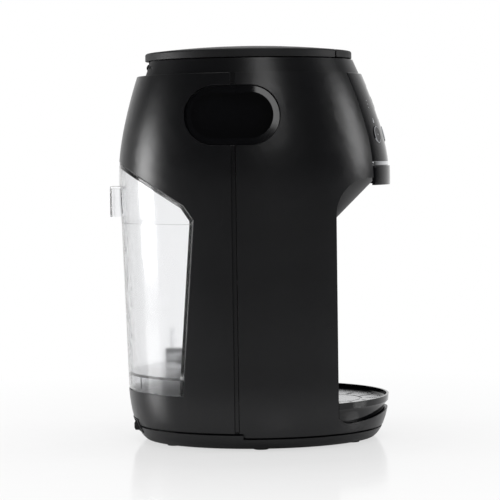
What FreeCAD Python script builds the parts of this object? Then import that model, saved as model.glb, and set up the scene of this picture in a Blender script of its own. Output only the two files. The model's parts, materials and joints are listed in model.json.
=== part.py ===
import FreeCAD, Part
import math
import os

# Baby formula maker, in millimetres. The front faces -Y, up is +Z and the
# origin is on the floor, midway between the spout guard and the tank's grip.

V = FreeCAD.Vector
UP = V(0, 0, 1)
FAR = 160.0             # past every outer face, for cutting tools

# Outer form: an oval at every height, from these sizes
MID_Z = 150.0           # height at which the side sizes below are taken
REAR_MID = 121.8        # reach to the rear
FRONT_MID = 131.0       # reach to the front
HALF_MID = 110.0        # half of the width
REAR_LEAN = 0.03        # growth of each reach for a millimetre of height
FRONT_LEAN = 0.006
HALF_LEAN = 0.005
BELLY_LOW = 52.0        # below this the sides round in to the base
BELLY_HIGH = 256.0      # above this they draw in to the lid
BASE_TUCK = 19.0
CROWN_SPAN = 89.0       # height over which the draws below are reached
REAR_DRAW = 21.4
FRONT_DRAW = 25.6
HALF_DRAW = 14.0
CROWN_POWER = 1.5
LEVELS = (4, 9, 18, 32, 52, 90, 150, 205, 256, 275, 298, 322, 345)
MIN_STEP = 1.5          # sections closer than this to an end are left out

# Casing
WALL = 2.6
RIM_Z = 344.6           # top edge of the two shells
BASE_Z = 1.2            # underside of the base pan, above the feet
FRONT_EDGE_Z = 12.2     # lower edge of the front shell
REAR_EDGE_Z = 16.2      # lower edge of the rear shell
STEP_Y = 8.0            # where the base seam steps
FRONT_SPLIT_Y = 13.1    # front edge of the sunk strip between the two shells
STRIP_WIDE = 4.5
REAR_SPLIT_Y = FRONT_SPLIT_Y + STRIP_WIDE
STRIP_DEPTH = 2.3
STRIP_THICK = 2.1
STRIP_LAP = 5.0
SEAM_GAP = 0.4
BASE_SEAM = 1.8         # open height of the seam over the base pan
LIP_LAP = 0.8           # height of the lip above the rear shell's lower edge
LIP_TOP = REAR_EDGE_Z + LIP_LAP
LIP_GAP = 0.3
LIP_THICK = 2.0
FLOOR_THICK = 3.0
BOSS_R = 5.5
BOSS_INSET = 17.75      # from the casing at the base pan's floor
BOSS_Y = (-34.0, 32.0)
BOSS_TOP = 34.0
BOSS_WEB = 3.0
SCREW_R = 1.75
SCREW_HEAD_R = 3.4
SCREW_HEAD = 1.6
SCREW_LENGTH = 16.0
FOOT_R = 7.0
FOOT_THICK = 2.8
FOOT_INSET = 8.3
FOOT_ANGLES = (0.0, 53.0, -58.0)

# Bottle bay at the front
CHEEK_Y = -78.0         # front edges of the side cheeks
HEAD_UNDER_Z = 247.0
ARCH_R = 33.0           # from the cheek edge to the underside of the head
HEEL_Z = 26.0           # where the cheek edge meets the foot
RIM_LOW = (-84.5, 21.3) # rim of the foot, as Y and Z
RIM_MID = (-107.0, 22.6)
RIM_TIP = (-134.0, 30.4)
NICHE_HALF = 76.0
NICHE_DEPTH = 56.0
LINER = 2.4
DECK_TOP = LIP_TOP + LINER  # floor under the drip tray
LINER_GAP = 0.1
CHANNEL_HALF = 56.0     # slot for the funnel, in the underside of the head
CHANNEL_HIGH = 11.0
CHANNEL_TOP = HEAD_UNDER_Z + CHANNEL_HIGH
CHANNEL_BACK = -22.4
LEDGE = 4.2
LEDGE_THICK = 2.2
LEDGE_ENDS = (-108.0, -30.0)

# Funnel, under the powder and water outlets
FUNNEL_Y = -73.0
FUNNEL_OUTLET_R = 6.0
FUNNEL_LIFT = 2.1       # from the head's underside up to the funnel's plate
FUNNEL_PLATE_Z = HEAD_UNDER_Z + FUNNEL_LIFT
FUNNEL_HIGH = 43.1
FUNNEL_BASE_Z = FUNNEL_PLATE_Z - FUNNEL_HIGH
FUNNEL_PLATE = 2.8
FUNNEL_WALL = 2.0
FUNNEL_GAP = 0.5
GUARD_HIGH = 18.0
GUARD_BOTTOM = CHANNEL_TOP - GUARD_HIGH
GUARD_PROUD = 1.2
GUARD_THICK = 2.6
GUARD_GAP = 0.3

# Control panel
TRIM_THICK = 2.2
TRIM_HIGH = 4.0
TRIM_TOP = CHANNEL_TOP + TRIM_HIGH
TRIM_GAP = 0.3
PANEL_LOW_HALF = 56.0
PANEL_TOP_HALF = 51.6
KEY_R = 7.2
KEY_GAP = 0.35
KEY_PROUD = 0.7
KEY_DEPTH = 3.4
KEY_STEM_R = 2.6
KEY_TRAVEL = 0.8
KEY_RISE = 25.4         # heights on the panel are taken from the trim's top
KEY_Z = TRIM_TOP + KEY_RISE
KEY_X = (-37.5, 0.0, 37.5)
KEY_NAMES = ("key_left", "key_start", "key_right")
WINDOW_HALF = 21.0
WINDOW_RISE = (40.0, 71.0)
WINDOW_Z = tuple(TRIM_TOP + rise for rise in WINDOW_RISE)
WINDOW_R = 4.0
PANEL_THICK = 2.6
BOARD_THICK = 1.6
CONTROL_INSET = 19.5    # from the casing's front at the window's top
CONTROL_HALF = 40.0
CONTROL_RISE = (15.0, 64.0)
CONTROL_Z = tuple(TRIM_TOP + rise for rise in CONTROL_RISE)
SCREEN_HALF = 18.0
SCREEN_DEPTH = 6.0
SCREEN_MARGIN = (2.3, 1.0)
SWITCH_R = 3.2

# Top collar, lid and hinge
COLLAR_INSET = 2.4
COLLAR_HIGH = 13.4
COLLAR_TOP = RIM_Z + COLLAR_HIGH
COLLAR_PLATE = 2.5
COLLAR_SKIRT = 9.0
LID_GAP = 1.0
LID_INSET = 3.4
LID_EDGE = 7.0
LID_CROWN = 13.0
LID_WALL = 2.5
LID_ROUND = 2.0
LID_LINER = 2.0
TAB_DEEP = 20.34        # from the casing's front to the split behind the release tab
TAB_GAP = 1.3
TAB_TRAVEL = 1.2
TAB_LIFT = 1.4
TAB_POST_R = 3.0
TAB_POST_X = 24.0
TAB_POST_STEP = 6.0
TAB_POST_DROP = 9.0
SPRING_WIRE = 0.4
SPRING_TURNS = 3
SEAL_STEP = 2.5         # from the hopper's wall out to the seal
SEAL_WIDTH = 4.0
SEAL_GAP = 0.15
HINGE_INSET = 9.8       # from the casing's rear
HINGE_DROP = 6.0
HINGE_Z = COLLAR_TOP - HINGE_DROP
PIN_R = 1.5
PIN_FIT = 0.05
KNUCKLE_R = 4.0
KNUCKLE_HALF = 22.0
EAR = 5.0
EAR_GAP = 0.4
HINGE_HALF = 35.0       # opening in the collar for the hinge
HINGE_ROOM = 7.0        # in front of the hinge's axis

# Handle recesses in the sides
HANDLE_Y = 16.0
HANDLE_Z = 306.0
HANDLE_OUT = (88.0, 55.0)
HANDLE_IN = (75.0, 42.0)
HANDLE_SINK = 2.8
HANDLE_RIM = 2.4
HANDLE_DEPTH = 22.9
HANDLE_WALL = 2.0
HANDLE_GAP = 0.3

# Powder side: hopper, dosing wheel and drive
ROTOR_Y = -4.0
DECK_GAP = 1.6          # over the funnel's slot
DECK_Z = CHANNEL_TOP + LINER + DECK_GAP
DECK_THICK = 3.0
PLATE_THICK = 3.0
RUN_GAP = 0.4
WHEEL_THICK = 9.8
MODULE = 1.5
WHEEL_TEETH = 76
PINION_TEETH = 16
BACKLASH = 0.3
PINION_ANGLE = 30.0
POCKET_COUNT = 8
POCKET_R = 8.5
POCKET_INSET = 14.0     # from the wheel's pitch line
POCKET_RING = MODULE * WHEEL_TEETH / 2 - POCKET_INSET
GATE_WALL = 3.4
WHEEL_ROOM = 2.1
HOPPER_R = MODULE * (WHEEL_TEETH / 2 + 1) + WHEEL_ROOM + GATE_WALL
HOPPER_DROP = 6.0
HOPPER_TOP = COLLAR_TOP - HOPPER_DROP
SEAL_R = HOPPER_R + SEAL_STEP
HOPPER_WALL = 2.2
HOPPER_FLOOR = 2.4
SHAFT_R = 5.0
SHAFT_FIT = 0.06
BUSH_WALL = 3.0
BUSH_FLANGE = 1.5
STIR_HUB_R = 9.0
STIR_HUB_HIGH = 18.2
STIR_GAP = 3.8
STIR_REACH = HOPPER_R - HOPPER_WALL - STIR_GAP
STIR_ARMS = 3
STIR_ARM = (4.0, 6.0)
CHUTE_R = 9.5
CHUTE_WALL = 1.8
CHUTE_DROP = 4.8
CHUTE_END_Z = CHANNEL_TOP - CHUTE_DROP
MOTOR_R = 15.0
MOTOR_HIGH = 26.0
GEARBOX_R = 17.0
GEARBOX_HIGH = 14.0
PINION_BORE_R = 2.5
NOZZLE = (26.0, -94.0)
NOZZLE_R = 5.0
NOZZLE_DROP = 4.0
NOZZLE_END_Z = CHANNEL_TOP - NOZZLE_DROP
NOZZLE_HIGH = 10.0      # above the deck
NOZZLE_TOP_Z = DECK_Z + DECK_THICK + NOZZLE_HIGH
NOZZLE_PORT_Z = NOZZLE_TOP_Z - NOZZLE_HIGH / 2

# Water side: tank, dock, pump, heater and hoses
TANK_FOOT_Y = 65.0
TANK_HEAD_Y = 53.2
TANK_FLOOR_Z = 50.0
TANK_HEAD_Z = 211.0
TANK_RIM_Y = 62.0
TANK_RIM_RISE = 13.0
TANK_RIM_Z = TANK_HEAD_Z + TANK_RIM_RISE
TANK_TOP_RISE = 53.0
TANK_TOP_Z = TANK_HEAD_Z + TANK_TOP_RISE  # top edge at the rear
TANK_WALL = 2.4
TANK_INSET = 0.3
TANK_SPLIT_DROP = 4.0
TANK_SPLIT_Z = TANK_HEAD_Z - TANK_SPLIT_DROP
TANK_WELL_RISE = 13.5
TANK_WELL_Z = TANK_FLOOR_Z + TANK_WELL_RISE  # underside of the inner floor
TANK_RIBS = 5
TANK_RIB = 1.6
TANK_RIB_PITCH = 23.7
BAY_GAP = 0.8
BAY_WALL = 2.4
GRIP_HALF = 24.0
GRIP_RISE = (2.0, 30.5)
GRIP_Z = tuple(TANK_HEAD_Z + rise for rise in GRIP_RISE)
GRIP_WALL = 2.2
GRIP_ROUND = 3.5
DOCK_RISE = 12.5
DOCK_Z = TANK_WELL_Z + DOCK_RISE
DOCK_R = 4.0
DOCK_BORE_R = 2.4
DOCK_REACH = 9.0
DOCK_FLANGE_R = 11.0
DOCK_TAIL = 12.0
VALVE_R = 10.0
VALVE_LONG = 20.0
VALVE_BORE_R = 4.6
ORING_R = 0.55
FLOAT_X = 44.0
FLOAT_Y = 78.0
FLOAT_R = 7.0
FLOAT_HIGH = 14.0
FLOAT_POST_R = 2.2
FLOAT_POST_HIGH = 36.0
FLOAT_FIT = 0.5
PUMP_X = -50.0
PUMP_Y = 20.0
PUMP_SIZE = (34.0, 30.0, 20.0)
PUMP_Z = 24.0
PUMP_MOTOR_R = 13.0
PUMP_MOTOR_HIGH = 36.0
MOUNT_R = 4.5
MOUNT_INSET = 6.0
HEATER_X = 45.0
HEATER_Y = 18.0
HEATER_R = 20.0
HEATER_Z = (25.0, 146.0)
HEATER_DOME = 8.0
LEG_R = 3.0
LEG_RING = 3.0
HOSE_R = 4.0
HOSE_BORE_R = 2.4
HOSE_BEND = 9.0
HOSE_ROOM = 3.0         # round a hose where it passes the deck
HOSE_BACK_Y = 50.0      # run behind the pump and the heater
HOSE_STEP = 10.0        # outlet's place in front of the heater's axis
HOSE_DROPS = (44.0, 26.0)   # heights of the rising hose, below the deck
HOSE_SIDE = (84.0, -40.0)   # where it passes the deck
HOSE_END_X = 62.0
CHASSIS_Y = -8.0
CHASSIS_THICK = 2.4
CHASSIS_HALF = 60.0
CHASSIS_FLANGE = 10.0
CARD_HALF = 40.0
CARD_Z = (90.0, 180.0)
CARD_POST = 4.0
CARD_POST_R = 3.0
# Components on the main board: width limits, thickness and height limits above its lower edge
CARD_CHIPS = (((-32.0, -12.0), 4.0, (12.0, 32.0)), ((-6.0, 12.0), 3.2, (14.0, 28.0)),
              ((18.0, 34.0), 4.0, (20.0, 44.0)), ((-30.0, -4.0), 1.6, (50.0, 70.0)),
              ((8.0, 34.0), 2.4, (62.0, 74.0)))

# Drip tray
TRAY_GAP = 0.5
TRAY_HIGH = 21.6
TRAY_TOP = DECK_TOP + TRAY_HIGH
TRAY_FLARE = (12.1, 15.6)
TRAY_WALL = 2.2
TRAY_FLOOR = 2.0
TRAY_RIM_INSET = 0.5
GRATE_RISE = 14.4
GRATE_Z = DECK_TOP + GRATE_RISE
GRATE_THICK = 2.0
GRATE_GAP = 0.5
GRATE_SLOTS = 12
GRATE_RING = 41.0
GRATE_SLOT = (13.0, 3.2)
GROOVE_R = (29.0, 31.0)
GROOVE_DEPTH = 0.6
PEG_R = 3.5
# Pegs under the grate: X, and Y from the cheeks
PEG_PLACES = ((0.0, 40.0), (-56.0, 8.0), (56.0, 8.0), (-44.0, -30.0), (44.0, -30.0))

# Switch and inlet at the rear
PLATE_HALF = 31.0
PLATE_Z = (9.0, 22.0)
PLATE_PROUD = 0.8
PLATE_DEEP = 3.4
PLATE_MID_Z = sum(PLATE_Z) / 2
PLATE_REACH = 15.3      # depths below are taken from the casing's rear
ROCKER_X = -15.0
ROCKER = (20.0, 9.0)
ROCKER_SINK = 6.3
ROCKER_R = 7.4
ROCKER_GAP = 0.8
ROCKER_PIN_R = 1.2
INLET_X = 15.0
INLET = (21.0, 10.0)
INLET_DEEP = 16.0
INLET_SINK = 2.8
INLET_WALL = 1.2
INLET_PIN_R = 1.2
INLET_PITCH = 8.6


# Basic shapes

def box(x, y, z):
    """A box between the two limits given for each direction."""
    size = [limits[1] - limits[0] for limits in (x, y, z)]
    return Part.makeBox(*size, V(x[0], y[0], z[0]))


def rod(x, y, low, high, radius):
    """An upright cylinder."""
    return Part.makeCylinder(radius, high - low, V(x, y, low), UP)


def rod_y(x, z, start, end, radius):
    """A cylinder along Y."""
    return Part.makeCylinder(radius, end - start, V(x, start, z), V(0, 1, 0))


def rod_x(y, z, start, end, radius):
    """A cylinder along X."""
    return Part.makeCylinder(radius, end - start, V(start, y, z), V(1, 0, 0))


def pipe(x, y, low, high, outer, inner):
    """An upright round tube."""
    return rod(x, y, low, high, outer).cut(rod(x, y, low, high, inner))


def merge(shapes):
    """Several shapes as one solid."""
    return shapes[0].fuse(list(shapes[1:]))


def group(shapes):
    """Several separate solids kept in one node."""
    return Part.makeCompound([solid for shape in shapes for solid in shape.Solids])


def mirrored(shape):
    """The same shape on the other side of the centre plane."""
    return shape.mirror(V(0, 0, 0), V(1, 0, 0))


def side_face(points):
    """A flat face in the centre plane, from Y and Z pairs."""
    corners = [V(0, y, z) for y, z in points]
    return Part.Face(Part.makePolygon(corners + corners[:1]))


def across(face, half=FAR):
    """A side profile carried across the width."""
    moved = face.copy()
    moved.translate(V(-half, 0, 0))
    return moved.extrude(V(2 * half, 0, 0))


def stadium(length, height, start, end):
    """A bar of stadium section along X, centred on a handle recess."""
    radius = height / 2
    flat = length / 2 - radius
    middle = box((start, end), (HANDLE_Y - flat, HANDLE_Y + flat), (HANDLE_Z - radius, HANDLE_Z + radius))
    ends = [rod_x(HANDLE_Y + side * flat, HANDLE_Z, start, end, radius) for side in (-1, 1)]
    return merge([middle] + ends)


# Outer form

def outline(z):
    """Rear reach, front reach and half width of the casing at one height."""
    over = z - MID_Z
    reach = [REAR_MID + REAR_LEAN * over, FRONT_MID + FRONT_LEAN * over, HALF_MID + HALF_LEAN * over]
    if z < BELLY_LOW:
        share = (BELLY_LOW - z) / BELLY_LOW
        tuck = BASE_TUCK * (1 - math.sqrt(1 - share * share))
        reach = [value - tuck for value in reach]
    if z > BELLY_HIGH:
        share = ((z - BELLY_HIGH) / CROWN_SPAN) ** CROWN_POWER
        draws = (REAR_DRAW, FRONT_DRAW, HALF_DRAW)
        reach = [value - draw * share for value, draw in zip(reach, draws)]
    return reach


def front_y(z, inset):
    """Y of a place set in from the casing's front."""
    return inset - outline(z)[1]


def rear_y(z, inset):
    """Y of a place set in from the casing's rear."""
    return outline(z)[0] - inset


# Places that follow the outer form
BOSS_X = outline(BASE_Z + FLOOR_THICK)[2] - BOSS_INSET
CONTROL_Y = front_y(WINDOW_Z[1], CONTROL_INSET)
TAB_SPLIT_Y = front_y(COLLAR_TOP, TAB_DEEP)
TAB_POST_Y = TAB_SPLIT_Y - TAB_POST_STEP
HINGE_Y = rear_y(COLLAR_TOP, HINGE_INSET)
HINGE_FRONT_Y = HINGE_Y - HINGE_ROOM
HANDLE_FLOOR_X = outline(HANDLE_Z)[2] - HANDLE_DEPTH
PLATE_BACK_Y = rear_y(PLATE_MID_Z, PLATE_REACH)
ROCKER_Y = rear_y(PLATE_MID_Z, ROCKER_SINK)
INLET_FACE_Y = rear_y(PLATE_MID_Z, INLET_SINK)


def oval(z, inset=0.0, taken_at=None):
    """The casing's oval at one height, drawn in by an inset."""
    rear, front, half = outline(z if taken_at is None else taken_at)
    centre = V(0, (rear - front) / 2, z)
    depth = V(0, (rear + front) / 2 - inset, 0)
    width = V(half - inset, 0, 0)
    if depth.Length >= width.Length:
        return Part.Wire([Part.Ellipse(centre + depth, centre - width, centre).toShape()])
    wide_oval = Part.Ellipse(centre + width, centre + depth, centre)
    return Part.Wire([wide_oval.toShape(math.pi / 2, math.pi * 5 / 2)])


def levels(low, high):
    """Heights of the sections of a loft between two heights."""
    between = [z for z in LEVELS if low + MIN_STEP < z < high - MIN_STEP]
    return [low] + between + [high]


def oval_side(low, high, low_inset, high_inset):
    """The side face between two ovals."""
    slope = (high_inset - low_inset) / (high - low)
    wires = [oval(z, low_inset + slope * (z - low)) for z in levels(low, high)]
    return Part.makeLoft(wires, False, False).Faces


def closed_solid(faces):
    """A solid from faces that close on each other."""
    shell = Part.makeShell(faces)
    shell.sewShape()
    solid = Part.makeSolid(shell)
    if solid.Volume < 0:
        solid.reverse()
    return solid


def oval_form(profile, closed):
    """A moulding that follows the casing, from height and inset pairs.

    A closed profile gives a ring. An open one is closed by a flat disc at each end.
    """
    faces = []
    pairs = list(zip(profile, profile[1:] + profile[:1]))
    for (low, low_inset), (high, high_inset) in pairs if closed else pairs[:-1]:
        if low == high:
            rims = [oval(low, inset) for inset in sorted((low_inset, high_inset))]
            faces.append(Part.makeFace(rims, "Part::FaceMakerBullseye"))
        elif low < high:
            faces += oval_side(low, high, low_inset, high_inset)
        else:
            faces += oval_side(high, low, high_inset, low_inset)
    if not closed:
        faces += [Part.Face(oval(*profile[0])), Part.Face(oval(*profile[-1]))]
    return closed_solid(faces)


def body(low, high, inset=0.0):
    """The casing's form between two heights, filled."""
    return oval_form([(low, inset), (high, inset)], False)


def skin(low, high, outer=0.0, inner=WALL):
    """The casing's wall between two heights."""
    return oval_form([(low, outer), (high, outer), (high, inner), (low, inner)], True)


def bay_void():
    """What the bottle bay takes out of the casing, seen from the side."""
    arch_low = HEAD_UNDER_Z - ARCH_R
    turn = ARCH_R * math.sqrt(0.5)
    arch_mid = V(0, CHEEK_Y - ARCH_R + turn, arch_low + turn)
    arch_end = V(0, CHEEK_Y - ARCH_R, HEAD_UNDER_Z)
    heel, cheek = V(0, CHEEK_Y, HEEL_Z), V(0, CHEEK_Y, arch_low)
    rim = [V(0, y, z) for y, z in (RIM_TIP, RIM_MID, RIM_LOW)]
    out_low, out_high = V(0, -FAR, RIM_TIP[1]), V(0, -FAR, HEAD_UNDER_Z)
    edges = [Part.LineSegment(heel, cheek), Part.Arc(cheek, arch_mid, arch_end),
             Part.LineSegment(arch_end, out_high), Part.LineSegment(out_high, out_low),
             Part.LineSegment(out_low, rim[0]), Part.Arc(*rim), Part.LineSegment(rim[2], heel)]
    return across(Part.Face(Part.Wire([edge.toShape() for edge in edges])))


def panel_void(gap=0.0):
    """The upright field of the control panel, trim and guard, cut from the front."""
    low, top = PANEL_LOW_HALF + gap, PANEL_TOP_HALF + gap
    floor_z = HEAD_UNDER_Z - ARCH_R
    corners = [(-low, floor_z), (low, floor_z), (low, TRIM_TOP), (top, RIM_Z), (-top, RIM_Z),
               (-low, TRIM_TOP)]
    points = [V(x, -FAR, z) for x, z in corners]
    return Part.Face(Part.makePolygon(points + points[:1])).extrude(V(0, FAR + CHEEK_Y + WALL, 0))


def tank_profile(grow=0.0):
    """Side profile of the tank, grown or drawn in all round."""
    slope = (TANK_TOP_Z - TANK_RIM_Z) / (outline(TANK_TOP_Z)[0] - TANK_RIM_Y)
    end_z = TANK_RIM_Z + slope * (FAR - TANK_RIM_Y)
    corners = [(TANK_FOOT_Y, TANK_FLOOR_Z), (TANK_HEAD_Y, TANK_HEAD_Z), (TANK_RIM_Y, TANK_RIM_Z),
               (FAR, end_z), (FAR, TANK_FLOOR_Z)]
    face = side_face(corners)
    return face.makeOffset2D(grow, 2) if grow else face


def tank_front_y(z):
    """Where the tank's front wall lies at one height."""
    share = (z - TANK_FLOOR_Z) / (TANK_HEAD_Z - TANK_FLOOR_Z)
    return TANK_FOOT_Y + (TANK_HEAD_Y - TANK_FOOT_Y) * share


def niche(grow, low, high):
    """The rounded back of the bottle bay as an upright half oval."""
    centre = V(0, CHEEK_Y, low)
    half, depth = NICHE_HALF + grow, NICHE_DEPTH + grow
    edge = Part.Ellipse(centre + V(half, 0, 0), centre + V(0, depth, 0), centre).toShape()
    whole = Part.Face(Part.Wire([edge])).extrude(V(0, 0, high - low))
    return whole.common(box((-FAR, FAR), (CHEEK_Y, FAR), (low, high)))


# Casing parts

def bosses(y):
    """A pair of screw bosses with webs that reach the shell, at one depth."""
    floor_top = BASE_Z + FLOOR_THICK
    form = body(floor_top, BOSS_TOP, WALL / 2)
    shapes = []
    for side in (-1, 1):
        post = rod(side * BOSS_X, y, floor_top, BOSS_TOP, BOSS_R)
        reach = sorted((side * BOSS_X, side * FAR))
        web = box(reach, (y - BOSS_WEB / 2, y + BOSS_WEB / 2), (LIP_TOP + LIP_GAP, BOSS_TOP))
        hole = rod(side * BOSS_X, y, 0, floor_top + SCREW_LENGTH, SCREW_R)
        shapes.append(merge([post, web.common(form)]).cut(hole))
    return shapes


def front_shell():
    shell = skin(FRONT_EDGE_Z, RIM_Z)
    shell = shell.cut(box((-FAR, FAR), (FRONT_SPLIT_Y, FAR), (0, FAR * 3)))
    shell = shell.cut(box((-FAR, FAR), (STEP_Y, FAR), (0, REAR_EDGE_Z)))
    shell = shell.cut(bay_void())
    shell = shell.cut(panel_void(SEAM_GAP))
    shell = shell.cut(stadium(*HANDLE_OUT, -FAR, FAR))
    return merge([shell] + bosses(BOSS_Y[0]))


def rear_shell():
    shell = skin(REAR_EDGE_Z, RIM_Z).cut(box((-FAR, FAR), (-FAR, REAR_SPLIT_Y), (0, FAR * 3)))
    strip = skin(REAR_EDGE_Z, RIM_Z, STRIP_DEPTH, STRIP_DEPTH + STRIP_THICK)
    lap = (FRONT_SPLIT_Y + SEAM_GAP, REAR_SPLIT_Y + STRIP_LAP)
    strip = strip.common(box((-FAR, FAR), lap, (LIP_TOP + LIP_GAP, RIM_Z - COLLAR_SKIRT - LIP_GAP)))
    shell = merge([shell] + strip.Solids)
    shell = shell.cut(across(tank_profile(BAY_GAP)))
    shell = shell.cut(stadium(*HANDLE_OUT, -FAR, FAR))
    shell = shell.cut(plate_void())
    return merge([shell] + bosses(BOSS_Y[1]))


def base_pan():
    rim_z = REAR_EDGE_Z - BASE_SEAM
    lip_in = WALL + LIP_GAP
    lip_back = lip_in + LIP_THICK
    profile = [(BASE_Z, 0.0), (rim_z, 0.0), (rim_z, lip_in), (LIP_TOP, lip_in), (LIP_TOP, lip_back),
               (BASE_Z + FLOOR_THICK, lip_back)]
    pan = oval_form(profile, False)
    step = skin(FRONT_EDGE_Z - BASE_SEAM, rim_z + MIN_STEP, -FOOT_R, lip_in)
    pan = pan.cut(step.common(box((-FAR, FAR), (-FAR, STEP_Y + BASE_SEAM), (0, FAR))))
    for y in BOSS_Y:
        for side in (-1, 1):
            pan = pan.cut(rod(side * BOSS_X, y, 0, BASE_Z + FLOOR_THICK, SCREW_R))
            pan = pan.cut(rod(side * BOSS_X, y, 0, BASE_Z + SCREW_HEAD, SCREW_HEAD_R))
    for x, y in foot_places():
        pan = pan.cut(rod(x, y, 0, FOOT_THICK, FOOT_R))
    return pan.cut(plate_void())


def foot_places():
    """Centres of the feet, just inside the base's edge."""
    rear, front, half = outline(BASE_Z)
    middle, reach = (rear - front) / 2, (rear + front) / 2 - FOOT_INSET
    places = []
    for angle in FOOT_ANGLES:
        turn = math.radians(angle)
        x, y = (half - FOOT_INSET) * math.cos(turn), middle + reach * math.sin(turn)
        places += [(x, y), (-x, y)]
    return places


def rubber_feet():
    return group([rod(x, y, 0, FOOT_THICK, FOOT_R) for x, y in foot_places()])


def base_screws():
    shapes = []
    for y in BOSS_Y:
        for side in (-1, 1):
            head = rod(side * BOSS_X, y, BASE_Z, BASE_Z + SCREW_HEAD, SCREW_HEAD_R)
            shank = rod(side * BOSS_X, y, BASE_Z, BASE_Z + SCREW_HEAD + SCREW_LENGTH, SCREW_R)
            shapes.append(merge([head, shank]))
    return group(shapes)


def bay_liner():
    """The surround of the bay, and its curved back wall as a second moulding."""
    inner = bay_void()
    arch_low = HEAD_UNDER_Z - ARCH_R
    upright = box((-FAR, FAR), (CHEEK_Y, CHEEK_Y + LINER), (DECK_TOP, arch_low))
    centre_y = CHEEK_Y - ARCH_R
    arch = rod_x(centre_y, arch_low, -FAR, FAR, ARCH_R + LINER)
    arch = arch.cut(rod_x(centre_y, arch_low, -FAR, FAR, ARCH_R))
    arch = arch.common(box((-FAR, FAR), (centre_y, FAR), (arch_low, FAR * 3)))
    ceiling = box((-FAR, FAR), (-FAR, centre_y), (HEAD_UNDER_Z, HEAD_UNDER_Z + LINER))
    back = niche(LINER, DECK_TOP, HEAD_UNDER_Z + LINER)
    wide, tall = CHANNEL_HALF + LINER, CHANNEL_TOP + LINER
    channel = box((-wide, wide), (-FAR, CHANNEL_BACK + LINER), (HEAD_UNDER_Z, tall))
    wings = [box(sorted((side * NICHE_HALF, side * (NICHE_HALF + LINER))), (centre_y, CHEEK_Y),
                 (arch_low, HEAD_UNDER_Z)) for side in (-1, 1)]
    shape = merge([upright, arch, ceiling, back, channel] + wings)
    mouth = box((-NICHE_HALF, NICHE_HALF), (centre_y, CHEEK_Y), (DECK_TOP, HEAD_UNDER_Z))
    flare = box((-NICHE_HALF, NICHE_HALF), (CHEEK_Y, CHEEK_Y + LINER), (DECK_TOP, HEAD_UNDER_Z))
    back_void = niche(0.0, DECK_TOP, HEAD_UNDER_Z)
    shape = shape.cut(merge([back_void, mouth, flare.common(back_void), channel_void()])).cut(inner)
    ledge_top = FUNNEL_PLATE_Z - GUARD_GAP
    ledges = [box(sorted((side * (CHANNEL_HALF - LEDGE), side * (CHANNEL_HALF + LINER))), LEDGE_ENDS,
                  (ledge_top - LEDGE_THICK, ledge_top)) for side in (-1, 1)]
    shape = merge([shape] + ledges)
    shape = shape.cut(rod(0, ROTOR_Y - POCKET_RING, CHANNEL_TOP, tall, CHUTE_R + CHUTE_WALL))
    shape = shape.cut(rod(*NOZZLE, CHANNEL_TOP, tall, NOZZLE_R))
    shape = shape.common(body(DECK_TOP, tall, WALL + LINER_GAP))
    behind = box((-FAR, FAR), (CHEEK_Y + LINER, FAR), (DECK_TOP, HEAD_UNDER_Z))
    return group([shape.cut(behind), shape.common(behind)])


def channel_void():
    return box((-CHANNEL_HALF, CHANNEL_HALF), (-FAR, CHANNEL_BACK), (GUARD_BOTTOM, CHANNEL_TOP))


def tray_deck():
    plate = body(LIP_TOP, DECK_TOP, WALL)
    reach = [box((-FAR, FAR), (-FAR, CHEEK_Y + LINER), (0, FAR)), niche(LINER, 0, FAR)]
    return plate.common(merge(reach))


def handle_cup():
    """The recess on the left side, where X is negative."""
    top, low = HANDLE_Z + HANDLE_OUT[1], HANDLE_Z - HANDLE_OUT[1]
    gap = 2 * HANDLE_GAP
    bezel = skin(low, top, HANDLE_SINK, HANDLE_SINK + HANDLE_RIM)
    bezel = bezel.common(stadium(HANDLE_OUT[0] - gap, HANDLE_OUT[1] - gap, -FAR, 0))
    grow = 2 * HANDLE_WALL
    cup = stadium(HANDLE_IN[0] + grow, HANDLE_IN[1] + grow, -FAR, -HANDLE_FLOOR_X)
    cup = cup.common(body(low, top, HANDLE_SINK))
    hollow = stadium(*HANDLE_IN, -FAR, -HANDLE_FLOOR_X - HANDLE_WALL)
    return merge([bezel, cup]).cut(hollow)


def top_collar():
    step_in = WALL + LIP_GAP
    back_in = step_in + LIP_THICK
    skirt_z = RIM_Z - COLLAR_SKIRT
    profile = [(COLLAR_TOP, COLLAR_INSET), (RIM_Z, COLLAR_INSET), (RIM_Z, step_in), (skirt_z, step_in),
               (skirt_z, back_in), (COLLAR_TOP - COLLAR_PLATE, back_in)]
    collar = oval_form(profile, False)
    collar = collar.cut(rod(0, ROTOR_Y, skirt_z, COLLAR_TOP, HOPPER_R + 2 * RUN_GAP))
    notch = box((-HINGE_HALF, HINGE_HALF), (HINGE_FRONT_Y, FAR), (skirt_z, FAR * 3))
    seat = box((-HINGE_HALF, HINGE_HALF), (HINGE_FRONT_Y - LINER, HINGE_FRONT_Y), (RIM_Z, COLLAR_TOP))
    collar = collar.cut(notch)
    collar = merge([collar, seat, hinge_ears()])
    collar = collar.cut(rod_x(HINGE_Y, HINGE_Z, -FAR, FAR, PIN_R))
    for side in (-1, 1):
        collar = collar.cut(rod(side * TAB_POST_X, TAB_POST_Y, RIM_Z, COLLAR_TOP, TAB_POST_R + LIP_GAP))
    return collar


def hinge_ears():
    """Two ears on the collar that hold the hinge pin."""
    start = KNUCKLE_HALF + EAR_GAP
    ears = []
    for side in (-1, 1):
        span = sorted((side * start, side * (start + EAR)))
        arm = box(span, (HINGE_FRONT_Y - LINER, HINGE_Y), (HINGE_Z - KNUCKLE_R, HINGE_Z + KNUCKLE_R))
        ears.append(merge([arm, rod_x(HINGE_Y, HINGE_Z, span[0], span[1], KNUCKLE_R)]))
    return Part.makeCompound(ears)


def hinge_pin():
    reach = KNUCKLE_HALF + EAR_GAP + EAR
    return rod_x(HINGE_Y, HINGE_Z, -reach, reach, PIN_R)


# Lid

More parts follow.
